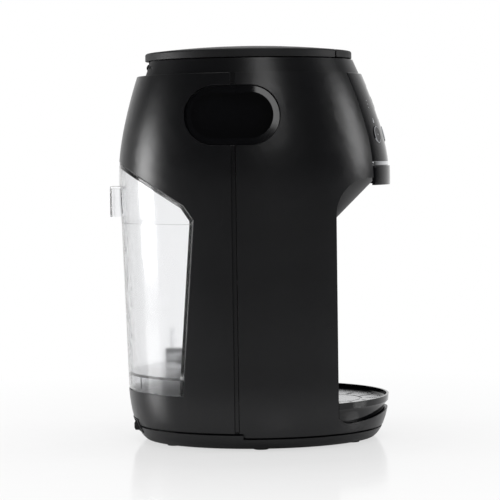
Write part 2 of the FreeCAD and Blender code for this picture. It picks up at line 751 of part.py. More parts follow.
def lid_blank(inset, drop):
    """The lid's domed form, with its edge drawn in and its crown lowered."""
    low = COLLAR_TOP + LID_GAP
    rim = oval(low, LID_INSET + inset, COLLAR_TOP)
    rear, front, _ = outline(COLLAR_TOP)
    reach = (rear + front) / 2 - LID_INSET
    rise = LID_CROWN - LID_EDGE
    radius = (reach * reach + rise * rise) / (2 * rise)
    ball = Part.makeSphere(radius - drop, V(0, (rear - front) / 2, low + LID_CROWN - radius))
    return Part.Face(rim).extrude(V(0, 0, 2 * LID_CROWN)).common(ball)


def upper_edges(shape, height):
    """Edges of a shape that lie wholly above a height."""
    return [edge for edge in shape.Edges if edge.BoundBox.ZMin > height]


def lid():
    low = COLLAR_TOP + LID_GAP
    blank = lid_blank(0.0, 0.0)
    blank = blank.makeFillet(LID_ROUND, upper_edges(blank, low + LID_EDGE / 2))
    hollow = lid_blank(LID_WALL, LID_WALL)
    front_wall = box((-FAR, FAR), (-FAR, TAB_SPLIT_Y + TAB_GAP / 2 + LID_WALL), (low, FAR * 3))
    root = box((-KNUCKLE_HALF, KNUCKLE_HALF), (HINGE_Y - KNUCKLE_R / 2, FAR), (low, FAR * 3))
    blank = blank.cut(hollow.cut(front_wall).cut(root))
    blank = blank.cut(box((-FAR, FAR), (-FAR, TAB_SPLIT_Y + TAB_GAP / 2), (low, FAR * 3)))
    web = box((-KNUCKLE_HALF, KNUCKLE_HALF), (HINGE_Y - KNUCKLE_R / 2, HINGE_Y + KNUCKLE_R / 2),
              (HINGE_Z, low + LID_LINER))
    knuckle = rod_x(HINGE_Y, HINGE_Z, -KNUCKLE_HALF, KNUCKLE_HALF, KNUCKLE_R)
    shape = merge([blank, web, knuckle])
    return shape.cut(rod_x(HINGE_Y, HINGE_Z, -FAR, FAR, PIN_R + PIN_FIT))


def lid_liner():
    """The flat inner plate that closes the lid from below."""
    low = COLLAR_TOP + LID_GAP
    rim = oval(low, LID_INSET + LID_WALL, COLLAR_TOP)
    plate = Part.Face(rim).extrude(V(0, 0, LID_LINER))
    ends = (TAB_SPLIT_Y + TAB_GAP / 2 + LID_WALL, HINGE_Y - KNUCKLE_R / 2)
    plate = plate.common(box((-FAR, FAR), ends, (low, low + LID_LINER)))
    return plate.cut(pipe(0, ROTOR_Y, low, low + LID_LINER / 2, SEAL_R + SEAL_WIDTH, SEAL_R))


def lid_seal():
    """Seal ring in a groove of the lid's inner plate."""
    low = COLLAR_TOP + SEAL_GAP
    return pipe(0, ROTOR_Y, low, COLLAR_TOP + LID_GAP + LID_LINER / 2, SEAL_R + SEAL_WIDTH, SEAL_R)


def lid_release_tab():
    low = COLLAR_TOP + TAB_LIFT
    blank = lid_blank(0.0, 0.0)
    blank = blank.makeFillet(LID_ROUND, upper_edges(blank, COLLAR_TOP + LID_GAP + LID_EDGE / 2))
    keep = box((-FAR, FAR), (-FAR, TAB_SPLIT_Y - TAB_GAP / 2), (low, FAR * 3))
    posts = [rod(side * TAB_POST_X, TAB_POST_Y, low - TAB_POST_DROP, low + TAB_TRAVEL, TAB_POST_R)
             for side in (-1, 1)]
    return merge([blank.common(keep)] + posts)


def release_springs():
    """A coil spring under each post of the release tab."""
    high = COLLAR_TOP + TAB_LIFT - TAB_POST_DROP
    low = RIM_Z - SPRING_WIRE
    return group([coil(side * TAB_POST_X, TAB_POST_Y, low, high) for side in (-1, 1)])


def coil(x, y, low, high):
    """A small coil spring between two heights."""
    rise = high - low - 2 * SPRING_WIRE
    radius = TAB_POST_R - SPRING_WIRE
    path = Part.makeHelix(rise / SPRING_TURNS, rise, radius)
    ring = Part.Wire([Part.Circle(V(radius, 0, 0), V(0, 1, 0), SPRING_WIRE).toShape()])
    wire = Part.Wire(path).makePipeShell([ring], True, True)
    wire.translate(V(x, y, low + SPRING_WIRE))
    return wire


# Control panel

def panel_point(x, z):
    """A point of the casing's front surface and the outward normal there."""
    def depth(px, pz):
        rear, front, half = outline(pz)
        centre, reach = (rear - front) / 2, (rear + front) / 2
        return centre - reach * math.sqrt(1 - (px / half) ** 2)
    step = 0.01
    y = depth(x, z)
    along_x = V(step, depth(x + step, z) - y, 0)
    along_z = V(0, depth(x, z + step) - y, step)
    normal = along_x.cross(along_z).normalize()
    return V(x, y, z), normal


def panel_rod(x, start, end, radius):
    """A cylinder on a key's axis, between two depths along the normal."""
    point, normal = panel_point(x, KEY_Z)
    return Part.makeCylinder(radius, end - start, point + normal * start, normal)


def fascia():
    front = skin(TRIM_TOP, RIM_Z, 0.0, PANEL_THICK).common(panel_void())
    for x in KEY_X:
        front = front.cut(panel_rod(x, -2 * KEY_DEPTH, KEY_DEPTH, KEY_R + KEY_GAP))
    return front.cut(window_bar(0.0))


def window_bar(gap):
    """The display's outline, carried through the panel."""
    sides, heights = (-WINDOW_HALF + gap, WINDOW_HALF - gap), (WINDOW_Z[0] + gap, WINDOW_Z[1] - gap)
    bar = box(sides, (-FAR, CONTROL_Y), heights)
    edges = [edge for edge in bar.Edges if edge.BoundBox.YLength > WINDOW_R]
    return bar.makeFillet(WINDOW_R, edges)


def display_window():
    return skin(TRIM_TOP, RIM_Z, LIP_GAP, PANEL_THICK).common(window_bar(0.0))


def key(x):
    """A round key: a cap with a stem that reaches for its switch."""
    cap = panel_rod(x, -KEY_DEPTH + KEY_PROUD, KEY_PROUD, KEY_R)
    cap = cap.makeFillet(KEY_PROUD / 2, [max_edge(cap, x)])
    stem = panel_rod(x, -2 * KEY_DEPTH, -KEY_DEPTH + KEY_PROUD, KEY_STEM_R)
    return merge([cap, stem])


def max_edge(shape, x):
    """The rim of a key's outer face."""
    point, normal = panel_point(x, KEY_Z)
    rims = [edge for edge in shape.Edges if edge.Length > 2 * KEY_R + 1]
    return max(rims, key=lambda edge: (edge.CenterOfMass - point).dot(normal))


def control_board():
    board = box((-CONTROL_HALF, CONTROL_HALF), (CONTROL_Y - BOARD_THICK, CONTROL_Y), CONTROL_Z)
    switches = []
    for x in KEY_X:
        post = panel_rod(x, -CONTROL_HALF, -2 * KEY_DEPTH - KEY_TRAVEL - LIP_GAP, SWITCH_R)
        switches.append(post.common(box((-FAR, FAR), (-FAR, CONTROL_Y - BOARD_THICK), (0, FAR * 3))))
    return group([board] + switches)


def display_module():
    back = CONTROL_Y - BOARD_THICK
    heights = (WINDOW_Z[0] + SCREEN_MARGIN[0], WINDOW_Z[1] - SCREEN_MARGIN[1])
    return box((-SCREEN_HALF, SCREEN_HALF), (back - SCREEN_DEPTH, back), heights)


def chrome_trim():
    return skin(CHANNEL_TOP + TRIM_GAP, TRIM_TOP, 0.0, TRIM_THICK).common(panel_void())


# Funnel

def mixing_funnel():
    top = FUNNEL_PLATE_Z
    high = top + FUNNEL_PLATE
    top_r = FUNNEL_OUTLET_R + top - FUNNEL_BASE_Z
    outer = Part.makeCone(FUNNEL_OUTLET_R, top_r, top - FUNNEL_BASE_Z, V(0, FUNNEL_Y, FUNNEL_BASE_Z))
    slant = FUNNEL_WALL * math.sqrt(2)
    inner = Part.makeCone(FUNNEL_OUTLET_R - slant, top_r - slant + FUNNEL_PLATE, high - FUNNEL_BASE_Z,
                          V(0, FUNNEL_Y, FUNNEL_BASE_Z))
    half = CHANNEL_HALF - FUNNEL_GAP
    back = CHANNEL_BACK - FUNNEL_GAP
    plate = box((-half, half), (-FAR, back), (top, high))
    plate = plate.common(body(top, high, GUARD_THICK - GUARD_PROUD))
    return merge([outer, plate]).cut(inner)


def spout_guard():
    ring = skin(GUARD_BOTTOM, CHANNEL_TOP, -GUARD_PROUD, GUARD_THICK - GUARD_PROUD)
    half = PANEL_LOW_HALF - FUNNEL_GAP
    return ring.common(box((-half, half), (-FAR, CHEEK_Y), (GUARD_BOTTOM, CHANNEL_TOP)))


# Powder side

def gear(x, y, low, high, teeth, phase):
    """A spur gear with involute flanks. phase is the angle of one tooth's centre."""
    pitch_r = MODULE * teeth / 2
    base_r = pitch_r * math.cos(math.radians(20))
    half_tooth = (math.pi * MODULE / 2 - BACKLASH) / 2 / pitch_r

    def flank(radius):
        if radius <= base_r:
            return 0.0
        angle = math.acos(base_r / radius)
        return math.tan(angle) - angle

    radii = (pitch_r - 1.25 * MODULE, pitch_r, pitch_r + 0.9 * MODULE)
    offsets = [half_tooth + flank(pitch_r) - flank(max(radius, base_r)) for radius in radii]
    points = []
    for tooth in range(teeth):
        centre = math.radians(phase) + 2 * math.pi * tooth / teeth
        side = [(radius, -offset) for radius, offset in zip(radii, offsets)]
        for radius, offset in side + [(radius, -offset) for radius, offset in reversed(side)]:
            angle = centre + offset
            points.append(V(x + radius * math.cos(angle), y + radius * math.sin(angle), low))
    return Part.Face(Part.makePolygon(points + points[:1])).extrude(V(0, 0, high - low))


def pinion_place():
    """Axis of the pinion, one pitch radius of each gear from the rotor."""
    reach = MODULE * (WHEEL_TEETH + PINION_TEETH) / 2
    angle = math.radians(PINION_ANGLE)
    return reach * math.cos(angle), ROTOR_Y + reach * math.sin(angle)


def wheel_span():
    """Heights of the dosing wheel's faces."""
    low = DECK_Z + DECK_THICK + PLATE_THICK + RUN_GAP
    return low, low + WHEEL_THICK


def dosing_wheel():
    low, high = wheel_span()
    wheel = gear(0, ROTOR_Y, low, high, WHEEL_TEETH, PINION_ANGLE)
    pockets = [rod(0, ROTOR_Y, low, high, SHAFT_R)]
    for index in range(POCKET_COUNT):
        angle = 2 * math.pi * index / POCKET_COUNT - math.pi / 2
        x, y = POCKET_RING * math.cos(angle), ROTOR_Y + POCKET_RING * math.sin(angle)
        pockets.append(rod(x, y, low, high, POCKET_R))
    return wheel.cut(Part.makeCompound(pockets))


def rotor_shaft():
    return rod(0, ROTOR_Y, DECK_Z - RUN_GAP, shaft_top(), SHAFT_R)


def shaft_bush():
    top = DECK_Z + DECK_THICK + PLATE_THICK
    return pipe(0, ROTOR_Y, DECK_Z, top, SHAFT_R + BUSH_WALL, SHAFT_R + SHAFT_FIT)


def stirrer_z():
    """Underside of the stirrer, just over the hopper's floor."""
    return hopper_floor_z() + HOPPER_FLOOR + 2 * RUN_GAP


def shaft_top():
    return stirrer_z() + STIR_HUB_HIGH


def stirrer():
    low, high = stirrer_z(), shaft_top()
    wide, tall = STIR_ARM
    hub = rod(0, ROTOR_Y, low, high, STIR_HUB_R)
    shapes = [hub, Part.makeSphere(STIR_HUB_R, V(0, ROTOR_Y, high))]
    for index in range(STIR_ARMS):
        arm = box((0, STIR_REACH), (ROTOR_Y - wide / 2, ROTOR_Y + wide / 2), (low, low + tall))
        blade = box((STIR_REACH - 2 * wide, STIR_REACH), (ROTOR_Y - wide / 2, ROTOR_Y + wide / 2),
                    (low, low + 4 * tall))
        for shape in (arm, blade):
            shape.rotate(V(0, ROTOR_Y, 0), UP, 360 * index / STIR_ARMS + PINION_ANGLE)
            shapes.append(shape)
    return merge(shapes).cut(rod(0, ROTOR_Y, low, high, SHAFT_R))


def hopper_floor_z():
    return wheel_span()[1] + RUN_GAP


def hopper():
    low = hopper_floor_z()
    can = rod(0, ROTOR_Y, low, HOPPER_TOP, HOPPER_R)
    can = can.cut(rod(0, ROTOR_Y, low + HOPPER_FLOOR, HOPPER_TOP, HOPPER_R - HOPPER_WALL))
    can = can.cut(rod(0, ROTOR_Y, low, low + HOPPER_FLOOR, SHAFT_R + RUN_GAP))
    for side in (-1, 1):
        angle = math.radians(90 + side * 180 / POCKET_COUNT)
        gate_x, gate_y = POCKET_RING * math.cos(angle), ROTOR_Y + POCKET_RING * math.sin(angle)
        can = can.cut(rod(gate_x, gate_y, low, low + HOPPER_FLOOR, POCKET_R))
    return can


def dosing_plate():
    """Fixed plate under the wheel, with the outlet at the front and a wall that carries the hopper."""
    low = DECK_Z + DECK_THICK
    floor_top = low + PLATE_THICK
    plate = rod(0, ROTOR_Y, low, floor_top, HOPPER_R)
    wall = pipe(0, ROTOR_Y, floor_top, hopper_floor_z(), HOPPER_R, HOPPER_R - GATE_WALL)
    plate = merge([plate, wall])
    plate = plate.cut(rod(0, ROTOR_Y, low, floor_top, SHAFT_R + BUSH_WALL))
    plate = plate.cut(rod(0, ROTOR_Y - POCKET_RING, low, floor_top, CHUTE_R))
    x, y = pinion_place()
    clear = MODULE * (PINION_TEETH / 2 + 1) + 2 * RUN_GAP
    return plate.cut(rod(x, y, low, hopper_floor_z(), clear))


def powder_chute():
    """Spout from the dosing plate's outlet down to the funnel."""
    return pipe(0, ROTOR_Y - POCKET_RING, CHUTE_END_Z, DECK_Z + DECK_THICK, CHUTE_R + CHUTE_WALL, CHUTE_R)


def head_deck():
    """Deck across the head, which carries the hopper and the drive."""
    high = DECK_Z + DECK_THICK
    deck = body(DECK_Z, high, STRIP_DEPTH + STRIP_THICK)
    deck = deck.common(box((-FAR, FAR), (-FAR, HINGE_Y), (DECK_Z, high)))
    deck = deck.cut(rod(0, ROTOR_Y, DECK_Z, high, SHAFT_R + BUSH_WALL))
    deck = deck.cut(rod(0, ROTOR_Y - POCKET_RING, DECK_Z, high, CHUTE_R + CHUTE_WALL))
    deck = deck.cut(rod(*NOZZLE, DECK_Z, high, NOZZLE_R))
    deck = deck.cut(rod(*pinion_place(), DECK_Z, high, PINION_BORE_R + 2 * RUN_GAP))
    return deck.cut(rod(*HOSE_SIDE, DECK_Z, high, HOSE_R + HOSE_ROOM))


def motor():
    """Geared motor that hangs under the deck. Its shaft stands up into the pinion."""
    x, y = pinion_place()
    gearbox_low = DECK_Z - GEARBOX_HIGH
    gearbox = rod(x, y, gearbox_low, DECK_Z, GEARBOX_R)
    can = rod(x, y, gearbox_low - MOTOR_HIGH, gearbox_low, MOTOR_R)
    tail = rod(x, y, gearbox_low - MOTOR_HIGH - 2 * LINER, gearbox_low - MOTOR_HIGH, SHAFT_R)
    spindle = rod(x, y, DECK_Z, wheel_span()[0], PINION_BORE_R - SHAFT_FIT)
    return merge([gearbox, can, tail, spindle])


def motor_pinion():
    x, y = pinion_place()
    low, high = wheel_span()
    phase = PINION_ANGLE + 180 + 180 / PINION_TEETH
    return gear(x, y, low, high - RUN_GAP, PINION_TEETH, phase)


def water_nozzle():
    x, y = NOZZLE
    low = rod(x, y, NOZZLE_END_Z, NOZZLE_TOP_Z, NOZZLE_R)
    collar = rod(x, y, DECK_Z + DECK_THICK, NOZZLE_TOP_Z, NOZZLE_R + LINER)
    jet = rod(x, y, NOZZLE_END_Z, NOZZLE_TOP_Z - LINER, HOSE_BORE_R)
    port = rod_x(y, NOZZLE_PORT_Z, x, x + 2 * NOZZLE_R, HOSE_BORE_R)
    return merge([low, collar]).cut(merge([jet, port]))


# Tank

def tank_body():
    low, high = TANK_FLOOR_Z, TANK_SPLIT_Z
    outer = body(low, high, TANK_INSET).common(across(tank_profile()))
    inset = TANK_INSET + TANK_WALL
    inner_side = across(tank_profile(-TANK_WALL))
    floor_top = TANK_WELL_Z + TANK_WALL
    well = body(floor_top, high, inset).common(inner_side)
    skirt_side = across(tank_profile(-TANK_WALL).fuse(tank_foot_face()))
    skirt = body(low, TANK_WELL_Z, inset).common(skirt_side)
    shell = outer.cut(well).cut(skirt)
    ribs = []
    for index in range(TANK_RIBS):
        x = TANK_RIB_PITCH * (index - (TANK_RIBS - 1) / 2)
        heights = (low + TANK_WALL, TANK_WELL_Z + TANK_WALL / 2)
        rib = box((x - TANK_RIB / 2, x + TANK_RIB / 2), (0, FAR), heights)
        ribs.append(rib.common(outer))
    post = rod(FLOAT_X, FLOAT_Y, floor_top - TANK_WALL / 2, floor_top + FLOAT_POST_HIGH, FLOAT_POST_R)
    shell = merge([shell] + ribs + [post])
    return shell.cut(rod_y(0, DOCK_Z, 0, TANK_FOOT_Y + TANK_WALL * 2, VALVE_R))


def tank_foot_face():
    """The open underside of the tank, inside its walls."""
    front = tank_front_y(TANK_FLOOR_Z) + TANK_WALL
    low = TANK_FLOOR_Z - TANK_WALL
    return side_face([(front, low), (front, TANK_WELL_Z), (FAR, TANK_WELL_Z), (FAR, low)])


def tank_lid():
    high = TANK_TOP_Z + TANK_WALL
    outer = body(TANK_SPLIT_Z, high, TANK_INSET).common(across(tank_profile()))
    inner = body(TANK_SPLIT_Z, high, TANK_INSET + TANK_WALL).common(across(tank_profile(-TANK_WALL)))
    end_y = outline(GUARD_BOTTOM)[1] + GUARD_PROUD
    grip = box((-GRIP_HALF, GRIP_HALF), (rear_y(GRIP_Z[0], TANK_INSET + TANK_WALL), end_y), GRIP_Z)
    corners = [edge for edge in upright_edges(grip) if edge.BoundBox.YMin > end_y - GRIP_ROUND]
    grip = grip.makeFillet(GRIP_ROUND, corners)
    inside = box((-GRIP_HALF + GRIP_WALL, GRIP_HALF - GRIP_WALL), (0, end_y - GRIP_WALL),
                 (GRIP_Z[0], GRIP_Z[1] - GRIP_WALL))
    grip = grip.cut(inside.cut(body(GRIP_Z[0], GRIP_Z[1], TANK_INSET)))
    return merge([outer, grip]).cut(inner)


def upright_edges(shape):
    """Edges of a shape that stand upright."""
    return [edge for edge in shape.Edges if edge.BoundBox.ZLength > edge.Length / 2]


def tank_valve():
    """Valve body in the tank's front wall, open towards the dock."""
    front = tank_front_y(DOCK_Z)
    shape = rod_y(0, DOCK_Z, front - TANK_WALL / 2, front + VALVE_LONG, VALVE_R)
    shape = shape.common(across(tank_profile()))
    bore = rod_y(0, DOCK_Z, 0, front + DOCK_REACH + LINER, VALVE_BORE_R)
    port = rod_y(0, DOCK_Z, 0, front + VALVE_LONG, DOCK_BORE_R)
    return shape.cut(bore).cut(port)


def tank_float():
    low = TANK_WELL_Z + TANK_WALL + GUARD_GAP
    return pipe(FLOAT_X, FLOAT_Y, low, low + FLOAT_HIGH, FLOAT_R, FLOAT_POST_R + FLOAT_FIT)


def tank_bay_panel():
    """The wall of the tank's bay, with its ledge below and its slanted roof."""
    ring = across(tank_profile(BAY_GAP + BAY_WALL)).cut(across(tank_profile(BAY_GAP)))
    low = TANK_FLOOR_Z - BAY_GAP - BAY_WALL
    ring = ring.common(body(low, TANK_TOP_Z + 3 * BAY_WALL, WALL))
    return ring.cut(rod_y(0, DOCK_Z, 0, FAR / 2, DOCK_R))


def dock_spigot():
    """Water outlet of the bay: a spigot for the tank's valve, with its flange behind the panel."""
    face = tank_front_y(DOCK_Z) - BAY_GAP
    back = face - BAY_WALL
    flange = rod_y(0, DOCK_Z, back - 3 * LINER, back + LINER, DOCK_FLANGE_R)
    flange = flange.cut(across(tank_profile(BAY_GAP + BAY_WALL)))
    spigot = rod_y(0, DOCK_Z, back - DOCK_TAIL, face + DOCK_REACH, DOCK_R)
    return merge([flange, spigot]).cut(rod_y(0, DOCK_Z, 0, FAR, DOCK_BORE_R))


def dock_seal():
    """Seal ring on the spigot."""
    face = tank_front_y(DOCK_Z) - BAY_GAP
    return Part.makeTorus(DOCK_R, ORING_R, V(0, face + DOCK_REACH / 2, DOCK_Z), V(0, 1, 0)).cut(
        rod_y(0, DOCK_Z, 0, FAR, DOCK_R))


# Pump, heater and hoses

def dock_tail_y():
    return tank_front_y(DOCK_Z) - BAY_GAP - BAY_WALL - DOCK_TAIL


PUMP_PORT_Z = PUMP_Z + PUMP_SIZE[2] / 2
HOSE_TO_PUMP = [(0, dock_tail_y(), DOCK_Z), (0, PUMP_Y, DOCK_Z), (0, PUMP_Y, PUMP_PORT_Z),
                (PUMP_X + PUMP_SIZE[0] / 2, PUMP_Y, PUMP_PORT_Z)]
HOSE_TO_HEATER = [(PUMP_X, PUMP_Y + PUMP_SIZE[1] / 2, PUMP_PORT_Z), (PUMP_X, HOSE_BACK_Y, PUMP_PORT_Z),
                  (HEATER_X, HOSE_BACK_Y, PUMP_PORT_Z), (HEATER_X, HEATER_Y + HEATER_R, PUMP_PORT_Z)]
HOSE_OUT_Y = HEATER_Y - HOSE_STEP
HOSE_TURN_Z, HOSE_RUN_Z = [DECK_Z - drop for drop in HOSE_DROPS]
HOSE_TO_NOZZLE = [(HEATER_X, HOSE_OUT_Y, HEATER_Z[1]), (HEATER_X, HOSE_OUT_Y, HOSE_TURN_Z),
                  (HOSE_SIDE[0], HOSE_OUT_Y, HOSE_RUN_Z), (*HOSE_SIDE, HOSE_RUN_Z),
                  (*HOSE_SIDE, NOZZLE_PORT_Z), (HOSE_END_X, NOZZLE[1], NOZZLE_PORT_Z),
                  (NOZZLE[0] + NOZZLE_R + LINER, NOZZLE[1], NOZZLE_PORT_Z)]


def bend(before, corner, after, radius):
    """Start, middle and end of the arc that rounds one corner."""
    back, ahead = (before - corner).normalize(), (after - corner).normalize()
    half_turn = math.acos(max(-1, min(1, -back.dot(ahead)))) / 2
    cut = radius * math.tan(half_turn)
    middle_way = (back + ahead).normalize()
    to_centre = radius / math.cos(half_turn)
    return corner + back * cut, corner + middle_way * (to_centre - radius), corner + ahead * cut


def hose(route):
    """A hose along straight runs joined by round bends."""
    points = [V(*point) for point in route]
    edges = []
    start = points[0]
    for before, corner, after in zip(points, points[1:], points[2:]):
        first, middle, last = bend(before, corner, after, HOSE_BEND)
        edges += [Part.LineSegment(start, first).toShape(), Part.Arc(first, middle, last).toShape()]
        start = last
    edges.append(Part.LineSegment(start, points[-1]).toShape())
    path = Part.Wire(edges)
    along = (points[1] - points[0]).normalize()
    tubes = []
    for radius in (HOSE_R, HOSE_BORE_R):
        ring = Part.Wire([Part.Circle(points[0], along, radius).toShape()])
        tubes.append(path.makePipeShell([ring], True, False))
    return tubes[0].cut(tubes[1])


def pump():
    wide, deep, tall = PUMP_SIZE
    sides, ends = (PUMP_X - wide / 2, PUMP_X + wide / 2), (PUMP_Y - deep / 2, PUMP_Y + deep / 2)
    head = box(sides, ends, (PUMP_Z, PUMP_Z + tall))
    head = head.makeFillet(MOUNT_R / 2, upright_edges(head))
    can = rod(PUMP_X, PUMP_Y, PUMP_Z + tall, PUMP_Z + tall + PUMP_MOTOR_HIGH, PUMP_MOTOR_R)
    can = can.makeFillet(MOUNT_R / 3, upper_edges(can, PUMP_Z + tall + PUMP_MOTOR_HIGH / 2))
    return merge([head, can])


def pump_mounts():
    """Four rubber mounts under the pump."""
    low = BASE_Z + FLOOR_THICK
    reach_x, reach_y = PUMP_SIZE[0] / 2 - MOUNT_INSET, PUMP_SIZE[1] / 2 - MOUNT_INSET
    places = [(PUMP_X + sx * reach_x, PUMP_Y + sy * reach_y) for sx in (-1, 1) for sy in (-1, 1)]
    return group([rod(x, y, low, PUMP_Z, MOUNT_R) for x, y in places])


def heater():
    low, high = HEATER_Z
    can = rod(HEATER_X, HEATER_Y, low, high, HEATER_R)
    ends = [edge for edge in can.Edges if edge.BoundBox.ZLength < 1 and edge.Length > HEATER_R]
    return can.makeFillet(HEATER_DOME, ends)


def heater_stand():
    """Ring on three legs that carries the heater."""
    low, high = BASE_Z + FLOOR_THICK, HEATER_Z[0]
    ring = pipe(HEATER_X, HEATER_Y, high - LEG_RING, high, HEATER_R, HEATER_R - 3 * LEG_R)
    shapes = [ring]
    for index in range(3):
        angle = 2 * math.pi * index / 3
        reach = HEATER_R - 1.5 * LEG_R
        x, y = HEATER_X + reach * math.cos(angle), HEATER_Y + reach * math.sin(angle)
        shapes.append(rod(x, y, low, high, LEG_R))
    return merge(shapes)


def thermostat():
    """Overheat cut-out on the heater's side, towards the chassis."""
    middle = sum(HEATER_Z) / 2
    shape = rod_y(HEATER_X, middle, CHASSIS_Y + CHASSIS_THICK + RUN_GAP, HEATER_Y, 2 * LEG_R)
    return shape.cut(rod(HEATER_X, HEATER_Y, *HEATER_Z, HEATER_R))


def chassis_plate():
    """Upright plate from the base to the deck, which carries the main board."""
    low = BASE_Z + FLOOR_THICK
    back = CHASSIS_Y + CHASSIS_THICK
    plate = box((-CHASSIS_HALF, CHASSIS_HALF), (CHASSIS_Y, back), (low, DECK_Z))
    flanges = [box((-CHASSIS_HALF, CHASSIS_HALF), (CHASSIS_Y - CHASSIS_FLANGE, back), span)
               for span in ((low, low + CHASSIS_THICK), (DECK_Z - CHASSIS_THICK, DECK_Z))]
    posts = [rod_y(sx * (CARD_HALF - 2 * CARD_POST_R), z, CHASSIS_Y - CARD_POST, CHASSIS_Y, CARD_POST_R)
             for sx in (-1, 1) for z in (CARD_Z[0] + 2 * CARD_POST_R, CARD_Z[1] - 2 * CARD_POST_R)]
    shape = merge([plate] + flanges + posts)
    shape = shape.cut(rod(0, ROTOR_Y, DECK_Z - CHASSIS_THICK, DECK_Z, SHAFT_R + BUSH_WALL))
    for z in (CARD_Z[0] - 3 * CHASSIS_FLANGE, CARD_Z[1] + 3 * CHASSIS_FLANGE):
        shape = shape.cut(rod_y(0, z, CHASSIS_Y, back, 2 * CHASSIS_FLANGE))
    return shape


def main_board():
    """Power and control board with its largest components."""
    face = CHASSIS_Y - CARD_POST
    board = box((-CARD_HALF, CARD_HALF), (face - BOARD_THICK, face), CARD_Z)
    front = face - BOARD_THICK
    low = CARD_Z[0]
    chips = [box(x, (front - tall, front), (low + z[0], low + z[1])) for x, tall, z in CARD_CHIPS]
    return group([board] + chips)


# Drip tray

def tray_form(inset, low, high, niche_inset):
    """The tray's form: the casing's outline in front and the niche behind."""
    flare_low, flare_high = [DECK_TOP + rise for rise in TRAY_FLARE]
    base_in = WALL + TRAY_GAP + inset
    rim_in = TRAY_RIM_INSET + inset
    profile = [(low, base_in), (flare_low + inset, base_in), (flare_high + inset, rim_in), (high, rim_in)]
    front = oval_form(profile, False)
    edge_y = CHEEK_Y - TRAY_GAP - inset
    front = front.common(box((-FAR, FAR), (-FAR, edge_y), (low, high)))
    back = niche(-TRAY_GAP - niche_inset, low, high)
    middle = NICHE_HALF - TRAY_GAP - niche_inset
    neck = box((-middle, middle), (CHEEK_Y - 2 * TRAY_WALL, CHEEK_Y), (low, high))
    return merge([front, neck, back])


def drip_tray():
    low = DECK_TOP + TRAY_GAP
    tray = tray_form(0.0, low, TRAY_TOP, 0.0)
    floor_top = low + TRAY_FLOOR
    tray = tray.cut(tray_form(TRAY_WALL, floor_top, TRAY_TOP, TRAY_WALL))
    pegs = [rod(x, CHEEK_Y + step, floor_top - TRAY_FLOOR / 2, GRATE_Z, PEG_R) for x, step in PEG_PLACES]
    return merge([tray] + pegs)


def grate_turn(shape, index):
    shape.rotate(V(0, FUNNEL_Y, 0), UP, 360 * index / GRATE_SLOTS)
    return shape


def drip_grate():
    high = GRATE_Z + GRATE_THICK
    plate = tray_form(TRAY_WALL + GRATE_GAP, DECK_TOP, TRAY_TOP, TRAY_WALL + GRATE_GAP)
    plate = plate.common(box((-FAR, FAR), (-FAR, FAR), (GRATE_Z, high)))
    plate = plate.cut(pipe(0, FUNNEL_Y, high - GROOVE_DEPTH, high, GROOVE_R[1], GROOVE_R[0]))
    length, width = GRATE_SLOT
    slots = []
    for index in range(GRATE_SLOTS):
        span = (GRATE_RING - length / 2, GRATE_RING + length / 2)
        bar = box(span, (FUNNEL_Y - width / 2, FUNNEL_Y + width / 2), (GRATE_Z, high))
        slots.append(grate_turn(bar, index))
    return plate.cut(Part.makeCompound(slots))


# Switch and inlet

def plate_void():
    """Opening for the switch plate in the rear of the shell and the base."""
    gap = LIP_GAP
    return box((-PLATE_HALF - gap, PLATE_HALF + gap), (PLATE_BACK_Y, FAR),
               (PLATE_Z[0] - gap, PLATE_Z[1] + gap))


def switch_plate():
    plate = skin(PLATE_Z[0], PLATE_Z[1], -PLATE_PROUD, PLATE_DEEP - PLATE_PROUD)
    plate = plate.common(box((-PLATE_HALF, PLATE_HALF), (0, FAR), PLATE_Z))
    for x, size, gap in ((ROCKER_X, ROCKER, ROCKER_GAP), (INLET_X, INLET, 0.0)):
        middle = PLATE_MID_Z
        half, tall = size[0] / 2 + gap, size[1] / 2 + gap
        plate = plate.cut(box((x - half, x + half), (0, FAR), (PLATE_MID_Z - tall, PLATE_MID_Z + tall)))
    return plate


def power_switch():
    """The rocker: a barrel across the opening with a shallow notch on its face."""
    middle = PLATE_MID_Z
    half = ROCKER[0] / 2
    barrel = rod_x(ROCKER_Y, middle, ROCKER_X - half, ROCKER_X + half, ROCKER_R)
    heights = (middle - ROCKER[1] / 2, middle + ROCKER[1] / 2)
    keep = box((ROCKER_X - half, ROCKER_X + half), (0, FAR), heights)
    hollow = rod_x(ROCKER_Y + 3 * ROCKER_R, middle, -FAR, FAR, 2 * ROCKER_R + LIP_GAP)
    return barrel.common(keep).cut(hollow).cut(rod_x(ROCKER_Y, middle, -FAR, FAR, ROCKER_PIN_R + PIN_FIT))


def switch_cradle():
    """The switch's body behind the plate, with the rocker's pin across it."""
    middle = PLATE_MID_Z
    half = ROCKER[0] / 2 + ROCKER_GAP
    deep = (ROCKER_Y - 1.5 * ROCKER_R - LINER, ROCKER_Y + ROCKER_PIN_R)
    cheeks = [box(sorted((ROCKER_X + side * half, ROCKER_X + side * (half + INLET_WALL))), deep,
                  (middle - ROCKER[1] / 2, middle + ROCKER[1] / 2)) for side in (-1, 1)]
    back = box((ROCKER_X - half - INLET_WALL, ROCKER_X + half + INLET_WALL), (deep[0], deep[0] + LINER),
               (middle - ROCKER[1] / 2, middle + ROCKER[1] / 2))
    pin = rod_x(ROCKER_Y, middle, ROCKER_X - half - INLET_WALL, ROCKER_X + half + INLET_WALL, ROCKER_PIN_R)
    behind = skin(PLATE_Z[0], PLATE_Z[1], -FOOT_R, PLATE_DEEP - PLATE_PROUD)
    return merge(cheeks + [back, pin]).cut(behind)


